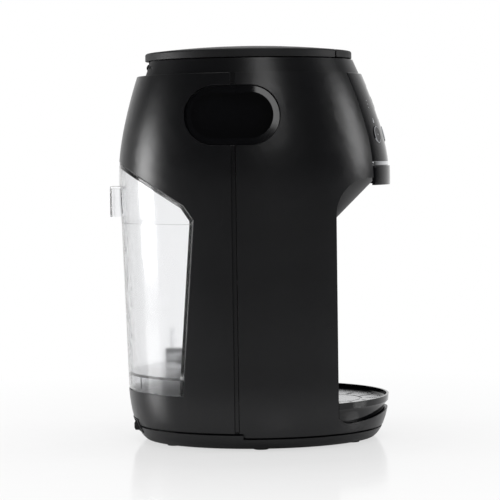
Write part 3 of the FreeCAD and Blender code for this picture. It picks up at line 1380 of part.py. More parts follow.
def power_inlet():
    """Two-pin socket, open to the rear."""
    middle = PLATE_MID_Z
    half, tall = INLET[0] / 2, INLET[1] / 2
    depth = (INLET_FACE_Y - INLET_DEEP, INLET_FACE_Y)
    block = box((INLET_X - half, INLET_X + half), depth, (middle - tall, middle + tall))
    half, tall = half - INLET_WALL, tall - INLET_WALL
    flat = half - tall
    floor_y = INLET_FACE_Y - INLET_DEEP + LINER
    mouth = box((INLET_X - flat, INLET_X + flat), (floor_y, INLET_FACE_Y), (middle - tall, middle + tall))
    ends = [rod_y(INLET_X + side * flat, middle, floor_y, INLET_FACE_Y, tall) for side in (-1, 1)]
    pins = [rod_y(INLET_X + side * INLET_PITCH / 2, middle, floor_y - 1, INLET_FACE_Y - LINER, INLET_PIN_R)
            for side in (-1, 1)]
    return merge([block.cut(merge([mouth] + ends))] + pins)


def parts():
    """Every node's name and shape."""
    left_cup = handle_cup()
    nodes = {
        "front_shell": front_shell(), "rear_shell": rear_shell(), "base_pan": base_pan(),
        "rubber_feet": rubber_feet(), "base_screws": base_screws(), "bay_liner": bay_liner(),
        "tray_deck": tray_deck(), "handle_cup_left": left_cup, "handle_cup_right": mirrored(left_cup),
        "top_collar": top_collar(), "hinge_pin": hinge_pin(), "lid": lid(), "lid_liner": lid_liner(),
        "lid_seal": lid_seal(), "lid_release_tab": lid_release_tab(), "release_springs": release_springs(),
        "fascia": fascia(), "display_window": display_window(), "display_module": display_module(),
        "control_board": control_board(), "chrome_trim": chrome_trim(), "mixing_funnel": mixing_funnel(),
        "spout_guard": spout_guard(), "dosing_wheel": dosing_wheel(), "rotor_shaft": rotor_shaft(),
        "shaft_bush": shaft_bush(), "stirrer": stirrer(), "hopper": hopper(), "dosing_plate": dosing_plate(),
        "powder_chute": powder_chute(), "head_deck": head_deck(), "drive_motor": motor(),
        "motor_pinion": motor_pinion(), "water_nozzle": water_nozzle(), "tank_body": tank_body(),
        "tank_lid": tank_lid(), "tank_valve": tank_valve(), "tank_float": tank_float(),
        "tank_bay_panel": tank_bay_panel(), "dock_spigot": dock_spigot(), "dock_seal": dock_seal(),
        "pump": pump(), "pump_mounts": pump_mounts(), "heater": heater(), "heater_stand": heater_stand(),
        "thermostat": thermostat(), "hose_to_pump": hose(HOSE_TO_PUMP),
        "hose_to_heater": hose(HOSE_TO_HEATER), "hose_to_nozzle": hose(HOSE_TO_NOZZLE),
        "chassis_plate": chassis_plate(), "main_board": main_board(), "drip_tray": drip_tray(),
        "drip_grate": drip_grate(), "switch_plate": switch_plate(), "switch_cradle": switch_cradle(),
        "power_switch": power_switch(), "power_inlet": power_inlet(),
    }
    for name, x in zip(KEY_NAMES, KEY_X):
        nodes[name] = key(x)
    return nodes


os.makedirs("parts", exist_ok=True)
for node, shape in parts().items():
    shape.exportStep("parts/" + node + ".step")
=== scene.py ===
import math
import json

import bmesh
import bpy
from mathutils import Matrix, Vector

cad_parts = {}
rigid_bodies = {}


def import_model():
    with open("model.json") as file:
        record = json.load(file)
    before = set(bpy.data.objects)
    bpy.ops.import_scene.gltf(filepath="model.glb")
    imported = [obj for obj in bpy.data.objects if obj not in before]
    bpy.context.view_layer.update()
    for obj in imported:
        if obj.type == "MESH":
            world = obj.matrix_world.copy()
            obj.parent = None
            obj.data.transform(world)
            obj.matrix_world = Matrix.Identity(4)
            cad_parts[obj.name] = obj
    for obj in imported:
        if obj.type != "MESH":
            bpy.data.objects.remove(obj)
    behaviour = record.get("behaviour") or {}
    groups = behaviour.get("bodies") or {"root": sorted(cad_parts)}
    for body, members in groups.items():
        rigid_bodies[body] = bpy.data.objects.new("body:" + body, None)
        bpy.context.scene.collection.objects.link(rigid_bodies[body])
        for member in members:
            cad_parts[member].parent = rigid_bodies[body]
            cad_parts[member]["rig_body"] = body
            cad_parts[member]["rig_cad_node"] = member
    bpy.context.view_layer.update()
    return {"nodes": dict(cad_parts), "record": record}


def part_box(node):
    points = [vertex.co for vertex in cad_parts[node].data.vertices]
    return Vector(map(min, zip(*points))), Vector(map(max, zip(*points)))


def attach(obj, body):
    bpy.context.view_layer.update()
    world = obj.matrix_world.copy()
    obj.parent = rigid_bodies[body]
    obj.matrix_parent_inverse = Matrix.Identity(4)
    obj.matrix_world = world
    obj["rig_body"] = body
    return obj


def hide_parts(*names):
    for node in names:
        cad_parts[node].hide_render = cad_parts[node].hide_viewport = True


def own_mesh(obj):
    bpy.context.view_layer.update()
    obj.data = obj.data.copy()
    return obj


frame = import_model()

bl_info = {
    "name": "Formula maker",
    "version": (1, 0, 0),
    "blender": (4, 5, 0),
    "location": "3D View > Sidebar > Formula maker",
    "description": "Dresses the fixed frame of a countertop formula maker",
    "category": "Object",
}

MM = 0.001
CENTRE = Vector((0.0, 0.0014, 0.1788))      # what the camera looks at
FRONT = Vector((0.0, -1.0, 0.0))
UP = Vector((0.0, 0.0, 1.0))
OUTSIDE = 0.3                               # metres from the middle, clear of the machine

# Merging, rounding and shading the copies of the frame's pieces
FINE = 1e-6                                 # corners closer than this are one corner
FLAT_TURN = math.radians(0.05)              # faces that turn less than this become one
SHARP_TURN = 32.0                           # degrees: an edge that turns more is sharp
COIL_TURN = 60.0                            # the same for the springs' wire
ROUND_STEPS = 2                             # faces across a small round
FACE_WEIGHT = 80                            # how far the large faces lead the shading

# Printed marks: corners of the flat shapes, and their spacing
TRIANGLE, SQUARE, HEXAGON = 3, 4, 6
DOT_CORNERS, LAMP_CORNERS, DISC_CORNERS, RING_CORNERS = 12, 20, 24, 48
ICON_GAP = 1.15                             # from a key's edge to its symbol, in symbol heights
LEVELS_GAP = 4.6                            # from a key's edge to its row of dots, likewise
DOT_PITCH = 0.75                            # from one dot to the next, likewise
DOT_SHARE = 0.75                            # a dot's radius beside a small lamp's
DIGIT_LINE = 1.8                            # width of a digit's bars, in line widths
DIGIT_PITCH = 0.82                          # from one digit to the next, in digit heights
BAR_LENGTH = 0.86                           # half a bar, in quarters of the digit's height
BAR_RISE, BAR_REACH = 0.98, 1.02            # a bar's place up and across, in the same quarters
SWITCH_MARK_OUT = 0.22                      # from the rocker's middle, as a share of its width
SWITCH_BAR, SWITCH_RING = 1.4, 1.3          # sizes of its two marks beside a small lamp's
SWITCH_LINE = 0.8                           # the ring's line, in line widths

# Sockets of a Mix node that mixes colours
MIX_FACTOR, MIX_FIRST, MIX_SECOND = 0, 6, 7
MIX_COLOUR = 2

# Finishes
GRAIN_SCALE = 2600.0
CLOUD_SCALE = 22.0
CLEAR_IOR = 1.38                            # below solid plastic's, so thin walls bend the view less
CLOUDS = (0.3, 0.7)                         # where most of a noise's values lie
ALL_NOISE = (0.1, 0.9)                      # where nearly all of them lie
GRAIN_DEPTH = 0.05 * MM
BRUSH_DEPTH = 0.02 * MM
BRUSH_RELIEF = 0.06
BRUSH_SHADE = 0.92                          # the darker tone of brushed metal
BRUSH_SPREAD = 0.15                         # how far its gloss varies, as a share
FROST_SPREAD = 0.3                          # the same for the clear plastic
DUST_LIFT = 2.0                             # dust on a colour is this much lighter
DUST_GREY = 0.05                            # and this much greyer
WIPE_SCALE = (9.0, 9.0, 26.0)               # streaks left by wiping, drawn out sideways
WIPE_TURN = (0.5, 0.35, 0.0)
BRUSH_SCALE = (40.0, 2400.0, 2400.0)        # scratches drawn out along X
SPECK_SCALE = 900.0
SPECKS = (0.55, 0.75)                       # only the peaks of the noise show as specks
LOOKS_UP = (0.3, 1.0)                       # how far a face looks up before dust stays on it

# Floor and surroundings
FLOOR_TONES = ((0.93, 0.93, 0.935), (0.95, 0.95, 0.955))
FLOOR_GLOSS = (0.10, 0.16)
SHADOW_RING = (0.03, 0.10)                  # shares of the floor's radius where shadows fade out
SHADOW_GLOW = 0.62                          # how much of the floor glows near the machine
TENT_START, TENT_END = 0.45, 0.95           # direction along X in which the tent turns white
TENT_DARK, TENT_WHITE = 0.030, 0.95
TENT_FILL = 0.40                            # plain light from all round
LAMPS = (                                   # name, place, width, height in metres, and watts
    ("top_box", (0.1, 0.0, 1.7), 1.2, 1.2, 11.0),
    ("tank_side_box", (0.12, 1.5, 0.32), 0.5, 0.55, 8.0),
    ("spout_side_box", (0.05, -1.5, 0.62), 0.45, 0.6, 4.5),
    ("camera_box", (-2.0, -0.5, 1.3), 0.7, 0.7, 5.0),
)


# Settings

def length(name, text, default):
    """A size in metres, as shown in the sidebar."""
    return bpy.props.FloatProperty(name=name, description=text, default=default, min=0.0,
                                   subtype="DISTANCE", unit="LENGTH")


def tint(name, text, default):
    """A colour without alpha."""
    return bpy.props.FloatVectorProperty(name=name, description=text, default=default, size=3,
                                         subtype="COLOR", min=0.0, max=1.0)


class MakerSizes(bpy.types.PropertyGroup):
    """Sizes of the trim and marks that the scene adds."""
    ring_wire: length("Ring wire", "Line width of the ring round each key", 0.7 * MM)
    ring_gap: length("Ring gap", "From a key's edge to its ring", 0.1 * MM)
    mark_line: length("Mark line", "Line width of the printed marks", 0.55 * MM)
    mark_proud: length("Mark height", "How far a printed mark stands off its surface", 0.12 * MM)
    mark_size: length("Mark size", "Height of the symbols beside the keys", 4.6 * MM)
    digit_high: length("Digit height", "Height of the unlit digits behind the window", 11.0 * MM)
    mouth_edge: length("Mouth edge", "Width of the round on the front shell's edges", 0.8 * MM)
    tray_edge: length("Tray edge", "Width of the round on the drip tray's rim", 0.8 * MM)
    pip: length("Pip", "Radius of the small lamps on the panel", 0.8 * MM)
    edge: length("Edge", "Width of the small round on moulded edges", 0.35 * MM)


class MakerColours(bpy.types.PropertyGroup):
    """Colours of the finishes."""
    casing: tint("Casing", "Black of the casing, the lid and the bay's walls", (0.0042, 0.0043, 0.0052))
    liner: tint("Liner", "Matt black of the bay's floor and the funnel", (0.0060, 0.0061, 0.0070))
    gloss: tint("Gloss", "Polished black of the panel and the tray", (0.0030, 0.0031, 0.0038))
    clear: tint("Clear", "Clear plastic of the tank", (0.975, 0.978, 0.985))
    steel: tint("Steel", "Brushed steel", (0.62, 0.625, 0.635))
    chrome: tint("Chrome", "Bright trim", (0.78, 0.79, 0.81))
    mark: tint("Marks", "Printed marks", (0.42, 0.43, 0.45))
    white: tint("White", "Natural white plastic", (0.72, 0.72, 0.69))
    grey: tint("Grey", "Grey plastic", (0.20, 0.205, 0.215))
    board: tint("Board", "Circuit board lacquer", (0.02, 0.13, 0.055))
    brass: tint("Brass", "Plain brass", (0.62, 0.43, 0.16))
    silicone: tint("Silicone", "Milky silicone", (0.70, 0.70, 0.67))


class MakerStudio(bpy.types.PropertyGroup):
    """Camera and lights."""
    distance: length("Distance", "From the camera to the machine's centre plane", 2.0)
    height: length("Height", "Height of the camera", 0.274)
    lens: bpy.props.FloatProperty(name="Lens", description="Focal length", default=151.0, min=10.0,
                                  subtype="DISTANCE_CAMERA", unit="CAMERA")
    roll: bpy.props.FloatProperty(name="Roll", description="Turn of the camera about its view",
                                  default=math.radians(-0.8), subtype="ANGLE", unit="ROTATION")
    floor_reach: length("Floor", "Radius of the floor", 6.0)


# Shader groups

def new_group(name, inputs, outputs):
    """An empty shader group with named sockets."""
    group = bpy.data.node_groups.new(name, "ShaderNodeTree")
    for label, kind, value in inputs:
        socket = group.interface.new_socket(name=label, in_out="INPUT", socket_type=kind)
        socket.default_value = value
    for label, kind in outputs:
        group.interface.new_socket(name=label, in_out="OUTPUT", socket_type=kind)
    return group


def add(tree, kind, **settings):
    """A node with its settings and the values of its inputs."""
    node = tree.nodes.new(kind)
    for key, value in settings.items():
        if key.startswith("in_"):
            node.inputs[key[3:].replace("_", " ")].default_value = value
        else:
            setattr(node, key, value)
    return node


def noise(tree, coords, scale, detail=3.0, rough=0.55):
    """The value of a noise, about 0 to 1."""
    node = add(tree, "ShaderNodeTexNoise", in_Scale=scale, in_Detail=detail, in_Roughness=rough)
    tree.links.new(coords, node.inputs["Vector"])
    return node.outputs["Fac"]


def remap(tree, value, low, high, to_low, to_high):
    """A value stretched from one range to another and kept within it."""
    node = tree.nodes.new("ShaderNodeMapRange")
    for index, number in enumerate((low, high, to_low, to_high)):
        node.inputs[index + 1].default_value = number
    tree.links.new(value, node.inputs["Value"])
    return node.outputs["Result"]


def blend(tree, factor, first, second):
    """Mixes two colours, each a socket or a plain colour, by a value that varies."""
    node = add(tree, "ShaderNodeMix", data_type="RGBA")
    tree.links.new(factor, node.inputs[MIX_FACTOR])
    for index, colour in ((MIX_FIRST, first), (MIX_SECOND, second)):
        if isinstance(colour, bpy.types.NodeSocket):
            tree.links.new(colour, node.inputs[index])
        else:
            node.inputs[index].default_value = (*colour, 1.0)
    return node.outputs[MIX_COLOUR]


def moulded_group():
    """Fine moulded texture: a height for the bump, a cloudy tone and wiped streaks."""
    group = new_group("moulded surface",
                      [("Grain", "NodeSocketFloat", GRAIN_SCALE),
                       ("Cloud", "NodeSocketFloat", CLOUD_SCALE)],
                      [(label, "NodeSocketFloat") for label in ("Height", "Tone", "Wipe")])
    ends = group.nodes.new("NodeGroupInput"), group.nodes.new("NodeGroupOutput")
    place = group.nodes.new("ShaderNodeTexCoord").outputs["Object"]
    grain = add(group, "ShaderNodeTexNoise", in_Detail=2.0)
    cloud = add(group, "ShaderNodeTexNoise", in_Detail=4.0, in_Roughness=0.6)
    for node, source in ((grain, "Grain"), (cloud, "Cloud")):
        group.links.new(place, node.inputs["Vector"])
        group.links.new(ends[0].outputs[source], node.inputs["Scale"])
    stretch = add(group, "ShaderNodeMapping", in_Scale=WIPE_SCALE, in_Rotation=WIPE_TURN)
    group.links.new(place, stretch.inputs["Vector"])
    wipe = noise(group, stretch.outputs["Vector"], 1.0, 5.0, 0.6)
    group.links.new(grain.outputs["Fac"], ends[1].inputs["Height"])
    group.links.new(cloud.outputs["Fac"], ends[1].inputs["Tone"])
    group.links.new(wipe, ends[1].inputs["Wipe"])


def brushed_group():
    """Long fine scratches along X, for brushed steel."""
    group = new_group("brushed lines", [("Lines", "NodeSocketFloat", 1.0)],
                      [("Height", "NodeSocketFloat"), ("Tone", "NodeSocketFloat")])
    ends = group.nodes.new("NodeGroupInput"), group.nodes.new("NodeGroupOutput")
    place = group.nodes.new("ShaderNodeTexCoord").outputs["Object"]
    stretch = add(group, "ShaderNodeMapping", in_Scale=BRUSH_SCALE)
    group.links.new(place, stretch.inputs["Vector"])
    lines = add(group, "ShaderNodeTexNoise", in_Detail=3.0)
    group.links.new(stretch.outputs["Vector"], lines.inputs["Vector"])
    group.links.new(ends[0].outputs["Lines"], lines.inputs["Scale"])
    group.links.new(lines.outputs["Fac"], ends[1].inputs["Height"])
    group.links.new(noise(group, place, 30.0), ends[1].inputs["Tone"])


def dust_group():
    """Where dust settles: a mask that is strongest on faces that look up."""
    group = new_group("settled dust", [("Amount", "NodeSocketFloat", 0.2)],
                      [("Mask", "NodeSocketFloat")])
    ends = group.nodes.new("NodeGroupInput"), group.nodes.new("NodeGroupOutput")
    place = group.nodes.new("ShaderNodeTexCoord").outputs["Object"]
    normal = group.nodes.new("ShaderNodeNewGeometry").outputs["Normal"]
    split = group.nodes.new("ShaderNodeSeparateXYZ")
    group.links.new(normal, split.inputs["Vector"])
    up = remap(group, split.outputs["Z"], *LOOKS_UP, 0.0, 1.0)
    specks = remap(group, noise(group, place, SPECK_SCALE, 4.0, 0.7), *SPECKS, 0.0, 1.0)
    both = add(group, "ShaderNodeMath", operation="MULTIPLY")
    group.links.new(up, both.inputs[0])
    group.links.new(specks, both.inputs[1])
    amount = add(group, "ShaderNodeMath", operation="MULTIPLY")
    group.links.new(both.outputs[0], amount.inputs[0])
    group.links.new(ends[0].outputs["Amount"], amount.inputs[1])
    group.links.new(amount.outputs[0], ends[1].inputs["Mask"])


# Materials

def start_material(name):
    """A new material, its node tree and its shader."""
    material = bpy.data.materials.new(name)
    material.use_nodes = True
    return material, material.node_tree, material.node_tree.nodes["Principled BSDF"]


def place_group(tree, name, **values):
    """A shader group in a material, with its own values."""
    node = tree.nodes.new("ShaderNodeGroup")
    node.node_tree = bpy.data.node_groups[name]
    for key, value in values.items():
        node.inputs[key].default_value = value
    return node


def bump(tree, shader, height, strength, distance):
    """Lets a height tilt the shader's normal."""
    node = add(tree, "ShaderNodeBump", in_Strength=strength, in_Distance=distance)
    tree.links.new(height, node.inputs["Height"])
    tree.links.new(node.outputs["Normal"], shader.inputs["Normal"])


def shade(colour, share):
    """A colour made lighter or darker."""
    return tuple(part * share for part in colour)


def varied(tree, value, middle, share):
    """A gloss that varies round its middle by a share of it."""
    return remap(tree, value, *ALL_NOISE, middle * (1 - share), middle * (1 + share))


def moulded(name, colour, rough, grain=GRAIN_SCALE, relief=0.12, spread=0.18, dust=0.10, lift=1.35):
    """Moulded plastic: a fine grain, a cloudy tone, wiped streaks in the gloss and a little dust."""
    material, tree, shader = start_material(name)
    surface = place_group(tree, "moulded surface", Grain=grain)
    tone = remap(tree, surface.outputs["Tone"], *CLOUDS, 0.0, 1.0)
    lighter = tuple(min(1.0, part * lift) for part in colour)
    base = blend(tree, tone, colour, lighter)
    settled = place_group(tree, "settled dust", Amount=dust)
    pale = tuple(min(1.0, part * DUST_LIFT + DUST_GREY) for part in colour)
    tree.links.new(blend(tree, settled.outputs["Mask"], base, pale), shader.inputs["Base Color"])
    gloss = varied(tree, surface.outputs["Wipe"], rough, spread)
    tree.links.new(gloss, shader.inputs["Roughness"])
    if relief:
        bump(tree, shader, surface.outputs["Height"], relief, GRAIN_DEPTH)
    return material


def brushed(name, colour, rough=0.28):
    """Brushed metal."""
    material, tree, shader = start_material(name)
    lines = place_group(tree, "brushed lines")
    tone = remap(tree, lines.outputs["Tone"], *CLOUDS, 0.0, 1.0)
    darker = shade(colour, BRUSH_SHADE)
    tree.links.new(blend(tree, tone, darker, colour), shader.inputs["Base Color"])
    shader.inputs["Metallic"].default_value = 1.0
    gloss = varied(tree, lines.outputs["Height"], rough, BRUSH_SPREAD)
    tree.links.new(gloss, shader.inputs["Roughness"])
    bump(tree, shader, lines.outputs["Height"], BRUSH_RELIEF, BRUSH_DEPTH)
    return material


def clear(name, colour, rough, cloud=0.02):
    """Clear moulded plastic with a faint frost and wiped streaks in its gloss."""
    material, tree, shader = start_material(name)
    surface = place_group(tree, "moulded surface", Cloud=14.0)
    faint = shade(colour, 1.0 - cloud)
    tone = remap(tree, surface.outputs["Tone"], *CLOUDS, 0.0, 1.0)
    tree.links.new(blend(tree, tone, colour, faint), shader.inputs["Base Color"])
    gloss = varied(tree, surface.outputs["Wipe"], rough, FROST_SPREAD)
    tree.links.new(gloss, shader.inputs["Roughness"])
    shader.inputs["Transmission Weight"].default_value = 1.0
    shader.inputs["IOR"].default_value = CLEAR_IOR
    return material


def make_materials(colours):
    """Every finish, by name."""
    moulded_group()
    brushed_group()
    dust_group()
    return {
        "casing": moulded("satin black casing", colours.casing, 0.30, relief=0.10),
        "lid": moulded("grained black lid", colours.casing, 0.5, grain=1500.0, relief=0.9, dust=0.04),
        "liner": moulded("matt black liner", colours.liner, 0.46, grain=1800.0, relief=0.3),
        "gloss": moulded("polished black panel", colours.gloss, 0.10, relief=0.02, spread=0.3),
        "key": moulded("black key cap", shade(colours.gloss, 2.2), 0.2, relief=0.05),
        "screen": moulded("dark window", colours.gloss, 0.05, relief=0.0, spread=0.4),
        "unlit": moulded("unlit digits", shade(colours.mark, 0.07), 0.3, relief=0.0),
        "mark": moulded("printed marks", colours.mark, 0.5, relief=0.1, lift=1.1, dust=0.0),
        "white": moulded("white plastic", colours.white, 0.42, relief=0.15, lift=1.06, dust=0.05),
        "grey": moulded("grey plastic", colours.grey, 0.45, relief=0.2, lift=1.15),
        "rubber": moulded("black rubber", colours.liner, 0.72, grain=1500.0, relief=0.5, dust=0.3),
        "silicone": moulded("milky silicone", colours.silicone, 0.38, relief=0.1, lift=1.05),
        "board": moulded("green board", colours.board, 0.35, grain=900.0, relief=0.2, lift=1.4),
        "clear": clear("clear tank", colours.clear, 0.13),
        "milky": clear("milky plastic", shade(colours.clear, 0.93), 0.55, cloud=0.08),
        "steel": brushed("brushed steel", colours.steel),
        "zinc": brushed("zinc plated steel", shade(colours.steel, 0.9), 0.36),
        "brass": brushed("plain brass", colours.brass, 0.3),
        "chrome": brushed("bright chrome", colours.chrome, 0.06),
    }


FINISH = {}


# Working on meshes

def pick(*objects):
    """Selects these objects only, and makes the first one active."""
    bpy.ops.object.select_all(action="DESELECT")
    for obj in objects:
        obj.select_set(True)
    bpy.context.view_layer.objects.active = objects[0]


def paint(obj, finish):
    """Gives a piece one finish."""
    obj.data.materials.clear()
    obj.data.materials.append(FINISH[finish])


def settle(obj, name, finish, body, replaced=()):
    """Names a finished piece, puts its place into its mesh and lets it ride on its body."""
    pick(obj)
    obj.name = name
    obj.data.name = name
    bpy.ops.object.transform_apply(location=True, rotation=True, scale=True)
    paint(obj, finish)
    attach(obj, body)
    if replaced:
        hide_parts(*replaced)
    return obj


def smooth_copy(node, name, finish, edge=None, angle=SHARP_TURN):
    """A node's own form with merged corners, small rounds on its edges and smooth shading."""
    source = frame["nodes"][node]
    piece = source.copy()
    piece.data = source.data.copy()
    body = source["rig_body"]
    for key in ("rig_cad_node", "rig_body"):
        del piece[key]
    piece.parent = None
    bpy.context.collection.objects.link(piece)
    pick(piece)
    bpy.ops.mesh.customdata_custom_splitnormals_clear()
    bpy.ops.object.mode_set(mode="EDIT")
    bpy.ops.mesh.select_all(action="SELECT")
    bpy.ops.mesh.remove_doubles(threshold=FINE)
    bpy.ops.mesh.dissolve_limited(angle_limit=FLAT_TURN)
    bpy.ops.object.mode_set(mode="OBJECT")
    bpy.ops.object.shade_smooth_by_angle(angle=math.radians(angle))
    width = bpy.context.scene.maker_sizes.edge if edge is None else edge
    if width:
        rounds = piece.modifiers.new("edge rounds", "BEVEL")
        rounds.width = width
        rounds.segments = ROUND_STEPS
        rounds.limit_method = "ANGLE"
        rounds.angle_limit = math.radians(angle)
        rounds.harden_normals = True
        bpy.ops.object.modifier_apply(modifier=rounds.name)
    shading = piece.modifiers.new("even shading", "WEIGHTED_NORMAL")
    shading.keep_sharp = True
    shading.weight = FACE_WEIGHT
    bpy.ops.object.modifier_apply(modifier=shading.name)
    return settle(piece, name, finish, body, (node,))


def slot_of(node):
    """The record's material slot of a node."""
    for row in frame["record"]["subparts"]:
        if row["node"] == node:
            return row["material_slot"]
    raise ValueError("no material slot for " + node)


def box_of(node):
    """The low and high corners of a node's box."""
    low, high = (Vector(corner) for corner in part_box(node))
    return low, high


def surface_at(piece, x, z, direction=FRONT):
    """The point and normal where a level line from outside meets a dressed piece."""
    start = Vector((x, 0.0, z)) + direction * OUTSIDE
    hit, place, normal, _ = bpy.data.objects[piece].ray_cast(start, -direction)
    if not hit:
        raise ValueError("nothing of " + piece + " at that place")
    return place, normal


def facing(place, normal):
    """A matrix that lays a flat shape on a surface, its own Y pointing up the surface."""
    side = UP.cross(normal).normalized()
    rise = normal.cross(side)
    return Matrix.Translation(place) @ Matrix((side, rise, normal)).transposed().to_4x4()


# Stage

def aim(obj, roll=0.0):
    """Turns a camera or a lamp towards the middle of the machine."""
    look = (CENTRE - obj.location).to_track_quat("-Z", "Y")
    obj.rotation_euler = (look.to_matrix() @ Matrix.Rotation(roll, 3, "Z")).to_euler()


def softbox(name, place, wide, tall, watts):
    """A soft rectangular lamp aimed at the machine."""
    data = bpy.data.lights.new(name, "AREA")
    data.shape = "RECTANGLE"
    data.size = wide
    data.size_y = tall
    data.energy = watts
    lamp = bpy.data.objects.new(name, data)
    bpy.context.collection.objects.link(lamp)
    lamp.location = place
    aim(lamp)


def seen_through(tree):
    """Two sockets: one where the camera looks straight at a surface or through the clear tank,
    and one where a surface reflects."""
    path = tree.nodes.new("ShaderNodeLightPath")
    seen = add(tree, "ShaderNodeMath", operation="MAXIMUM")
    tree.links.new(path.outputs["Is Camera Ray"], seen.inputs[0])
    tree.links.new(path.outputs["Is Transmission Ray"], seen.inputs[1])
    return seen.outputs[0], path.outputs["Is Glossy Ray"]


def floor_material(reach):
    """Pale floor that keeps a soft shadow near the machine and is plain white further away."""
    material, tree, shader = start_material("pale floor")
    place = tree.nodes.new("ShaderNodeTexCoord").outputs["Object"]
    tone = remap(tree, noise(tree, place, 3.0), *CLOUDS, 0.0, 1.0)
    tree.links.new(blend(tree, tone, *FLOOR_TONES), shader.inputs["Base Color"])
    gloss = remap(tree, noise(tree, place, 40.0), *CLOUDS, *FLOOR_GLOSS)
    tree.links.new(gloss, shader.inputs["Roughness"])
    glow = add(tree, "ShaderNodeEmission", in_Strength=1.0)
    far = add(tree, "ShaderNodeVectorMath", operation="LENGTH")
    tree.links.new(place, far.inputs[0])
    near_end, far_end = (reach * share for share in SHADOW_RING)
    fade = remap(tree, far.outputs["Value"], near_end, far_end, SHADOW_GLOW, 1.0)
    seen, _ = seen_through(tree)
    both = add(tree, "ShaderNodeMath", operation="MULTIPLY")
    tree.links.new(fade, both.inputs[0])
    tree.links.new(seen, both.inputs[1])
    mix = tree.nodes.new("ShaderNodeMixShader")
    tree.links.new(both.outputs[0], mix.inputs[0])
    tree.links.new(shader.outputs[0], mix.inputs[1])
    tree.links.new(glow.outputs[0], mix.inputs[2])
    tree.links.new(mix.outputs[0], tree.nodes["Material Output"].inputs["Surface"])
    return material


def studio_world():
    """White where the camera looks past or through the machine; what surfaces reflect is white
    behind the machine and dark on the camera's side, as in a tent with its front open."""
    world = bpy.data.worlds.new("studio")
    world.use_nodes = True
    tree = world.node_tree
    back = tree.nodes["Background"]
    seen, glossy = seen_through(tree)
    split = tree.nodes.new("ShaderNodeSeparateXYZ")
    tree.links.new(tree.nodes.new("ShaderNodeTexCoord").outputs["Generated"], split.inputs["Vector"])
    tent = remap(tree, split.outputs["X"], TENT_START, TENT_END, TENT_DARK, TENT_WHITE)
    reflected = add(tree, "ShaderNodeMix", data_type="FLOAT")
    tree.links.new(glossy, reflected.inputs[0])
    reflected.inputs[2].default_value = TENT_FILL
    tree.links.new(tent, reflected.inputs[3])
    strength = add(tree, "ShaderNodeMix", data_type="FLOAT")
    tree.links.new(seen, strength.inputs[0])
    tree.links.new(reflected.outputs[0], strength.inputs[2])
    strength.inputs[3].default_value = 1.0
    tree.links.new(strength.outputs[0], back.inputs["Strength"])
    back.inputs["Color"].default_value = (1.0, 1.0, 1.0, 1.0)
    bpy.context.scene.world = world


class MAKER_OT_stage(bpy.types.Operator):
    """Camera, floor, soft lamps and white surroundings"""
    bl_idname = "maker.stage"
    bl_label = "Stage"

    def execute(self, context):
        studio = context.scene.maker_studio
        data = bpy.data.cameras.new("camera")
        data.lens = studio.lens
        camera = bpy.data.objects.new("camera", data)
        context.collection.objects.link(camera)
        camera.location = (-studio.distance, CENTRE.y, studio.height)
        aim(camera, studio.roll)
        context.scene.camera = camera
        bpy.ops.object.select_all(action="DESELECT")
        bpy.ops.mesh.primitive_circle_add(vertices=96, radius=studio.floor_reach, fill_type="NGON")
        floor = context.object
        floor.name = "floor"
        floor.data.materials.append(floor_material(studio.floor_reach))
        for lamp in LAMPS:
            softbox(*lamp)
        studio_world()
        context.scene.view_settings.view_transform = "Standard"
        return {"FINISHED"}


# The machine's pieces

class MAKER_OT_casing(bpy.types.Operator):
    """The two shells, the base, the collar, the bottle bay and the recesses in the sides"""
    bl_idname = "maker.casing"
    bl_label = "Casing"

    def execute(self, context):
        mouth_edge = context.scene.maker_sizes.mouth_edge
        smooth_copy("front_shell", "casing_front", "casing", edge=mouth_edge)
        for node, name, finish in (("rear_shell", "casing_rear", "casing"),
                                   ("base_pan", "casing_base", "casing"),
                                   ("top_collar", "casing_collar", "casing"),
                                   ("bay_liner", "bay_wall", "casing"),
                                   ("tray_deck", "bay_floor", "liner")):
            smooth_copy(node, name, finish)
        for side in ("left", "right"):
            smooth_copy("handle_cup_" + side, "hand_recess_" + side, "gloss", edge=0.0)
        return {"FINISHED"}


class MAKER_OT_lid(bpy.types.Operator):
    """The lid, its liner and seal, and the release tab with its springs"""
    bl_idname = "maker.lid"
    bl_label = "Lid"

    def execute(self, context):
        smooth_copy("lid", "lid_dome", "lid")
        smooth_copy("lid_release_tab", "lid_tab", "lid")
        smooth_copy("lid_liner", "lid_underside", "grey")
        smooth_copy("lid_seal", "lid_gasket", "silicone")
        springs = smooth_copy("release_springs", "tab_springs", "zinc", edge=0.0,
                              angle=COIL_TURN)
        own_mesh(springs)
        return {"FINISHED"}


class MAKER_OT_panel(bpy.types.Operator):
    """The control panel with its window, keys and trim"""
    bl_idname = "maker.panel"
    bl_label = "Control panel"

    def execute(self, context):
        smooth_copy("fascia", "panel_face", "gloss")
        smooth_copy("display_window", "panel_window", "screen")
        smooth_copy("chrome_trim", "panel_trim", "chrome")
        for node in ("key_left", "key_start", "key_right"):
            smooth_copy(node, node + "_cap", "key")
        return {"FINISHED"}


def flat_shape(corners, radius, turn=0.0, wide=1.0, tall=1.0):
    """A flat shape with its corners on a circle, stretched to its width and height."""
    bpy.ops.object.select_all(action="DESELECT")
    bpy.ops.mesh.primitive_circle_add(vertices=corners, radius=radius, fill_type="NGON",
                                      rotation=(0.0, 0.0, turn))
    shape = bpy.context.object
    bpy.ops.object.transform_apply(location=False, rotation=True, scale=False)
    shape.scale = (wide, tall, 1.0)
    bpy.ops.object.transform_apply(location=False, rotation=False, scale=True)
    return shape


def shift(shape, across, up):
    """Moves a flat shape in its own plane."""
    shape.location = (across, up, 0.0)
    pick(shape)
    bpy.ops.object.transform_apply(location=True, rotation=False, scale=False)
    return shape


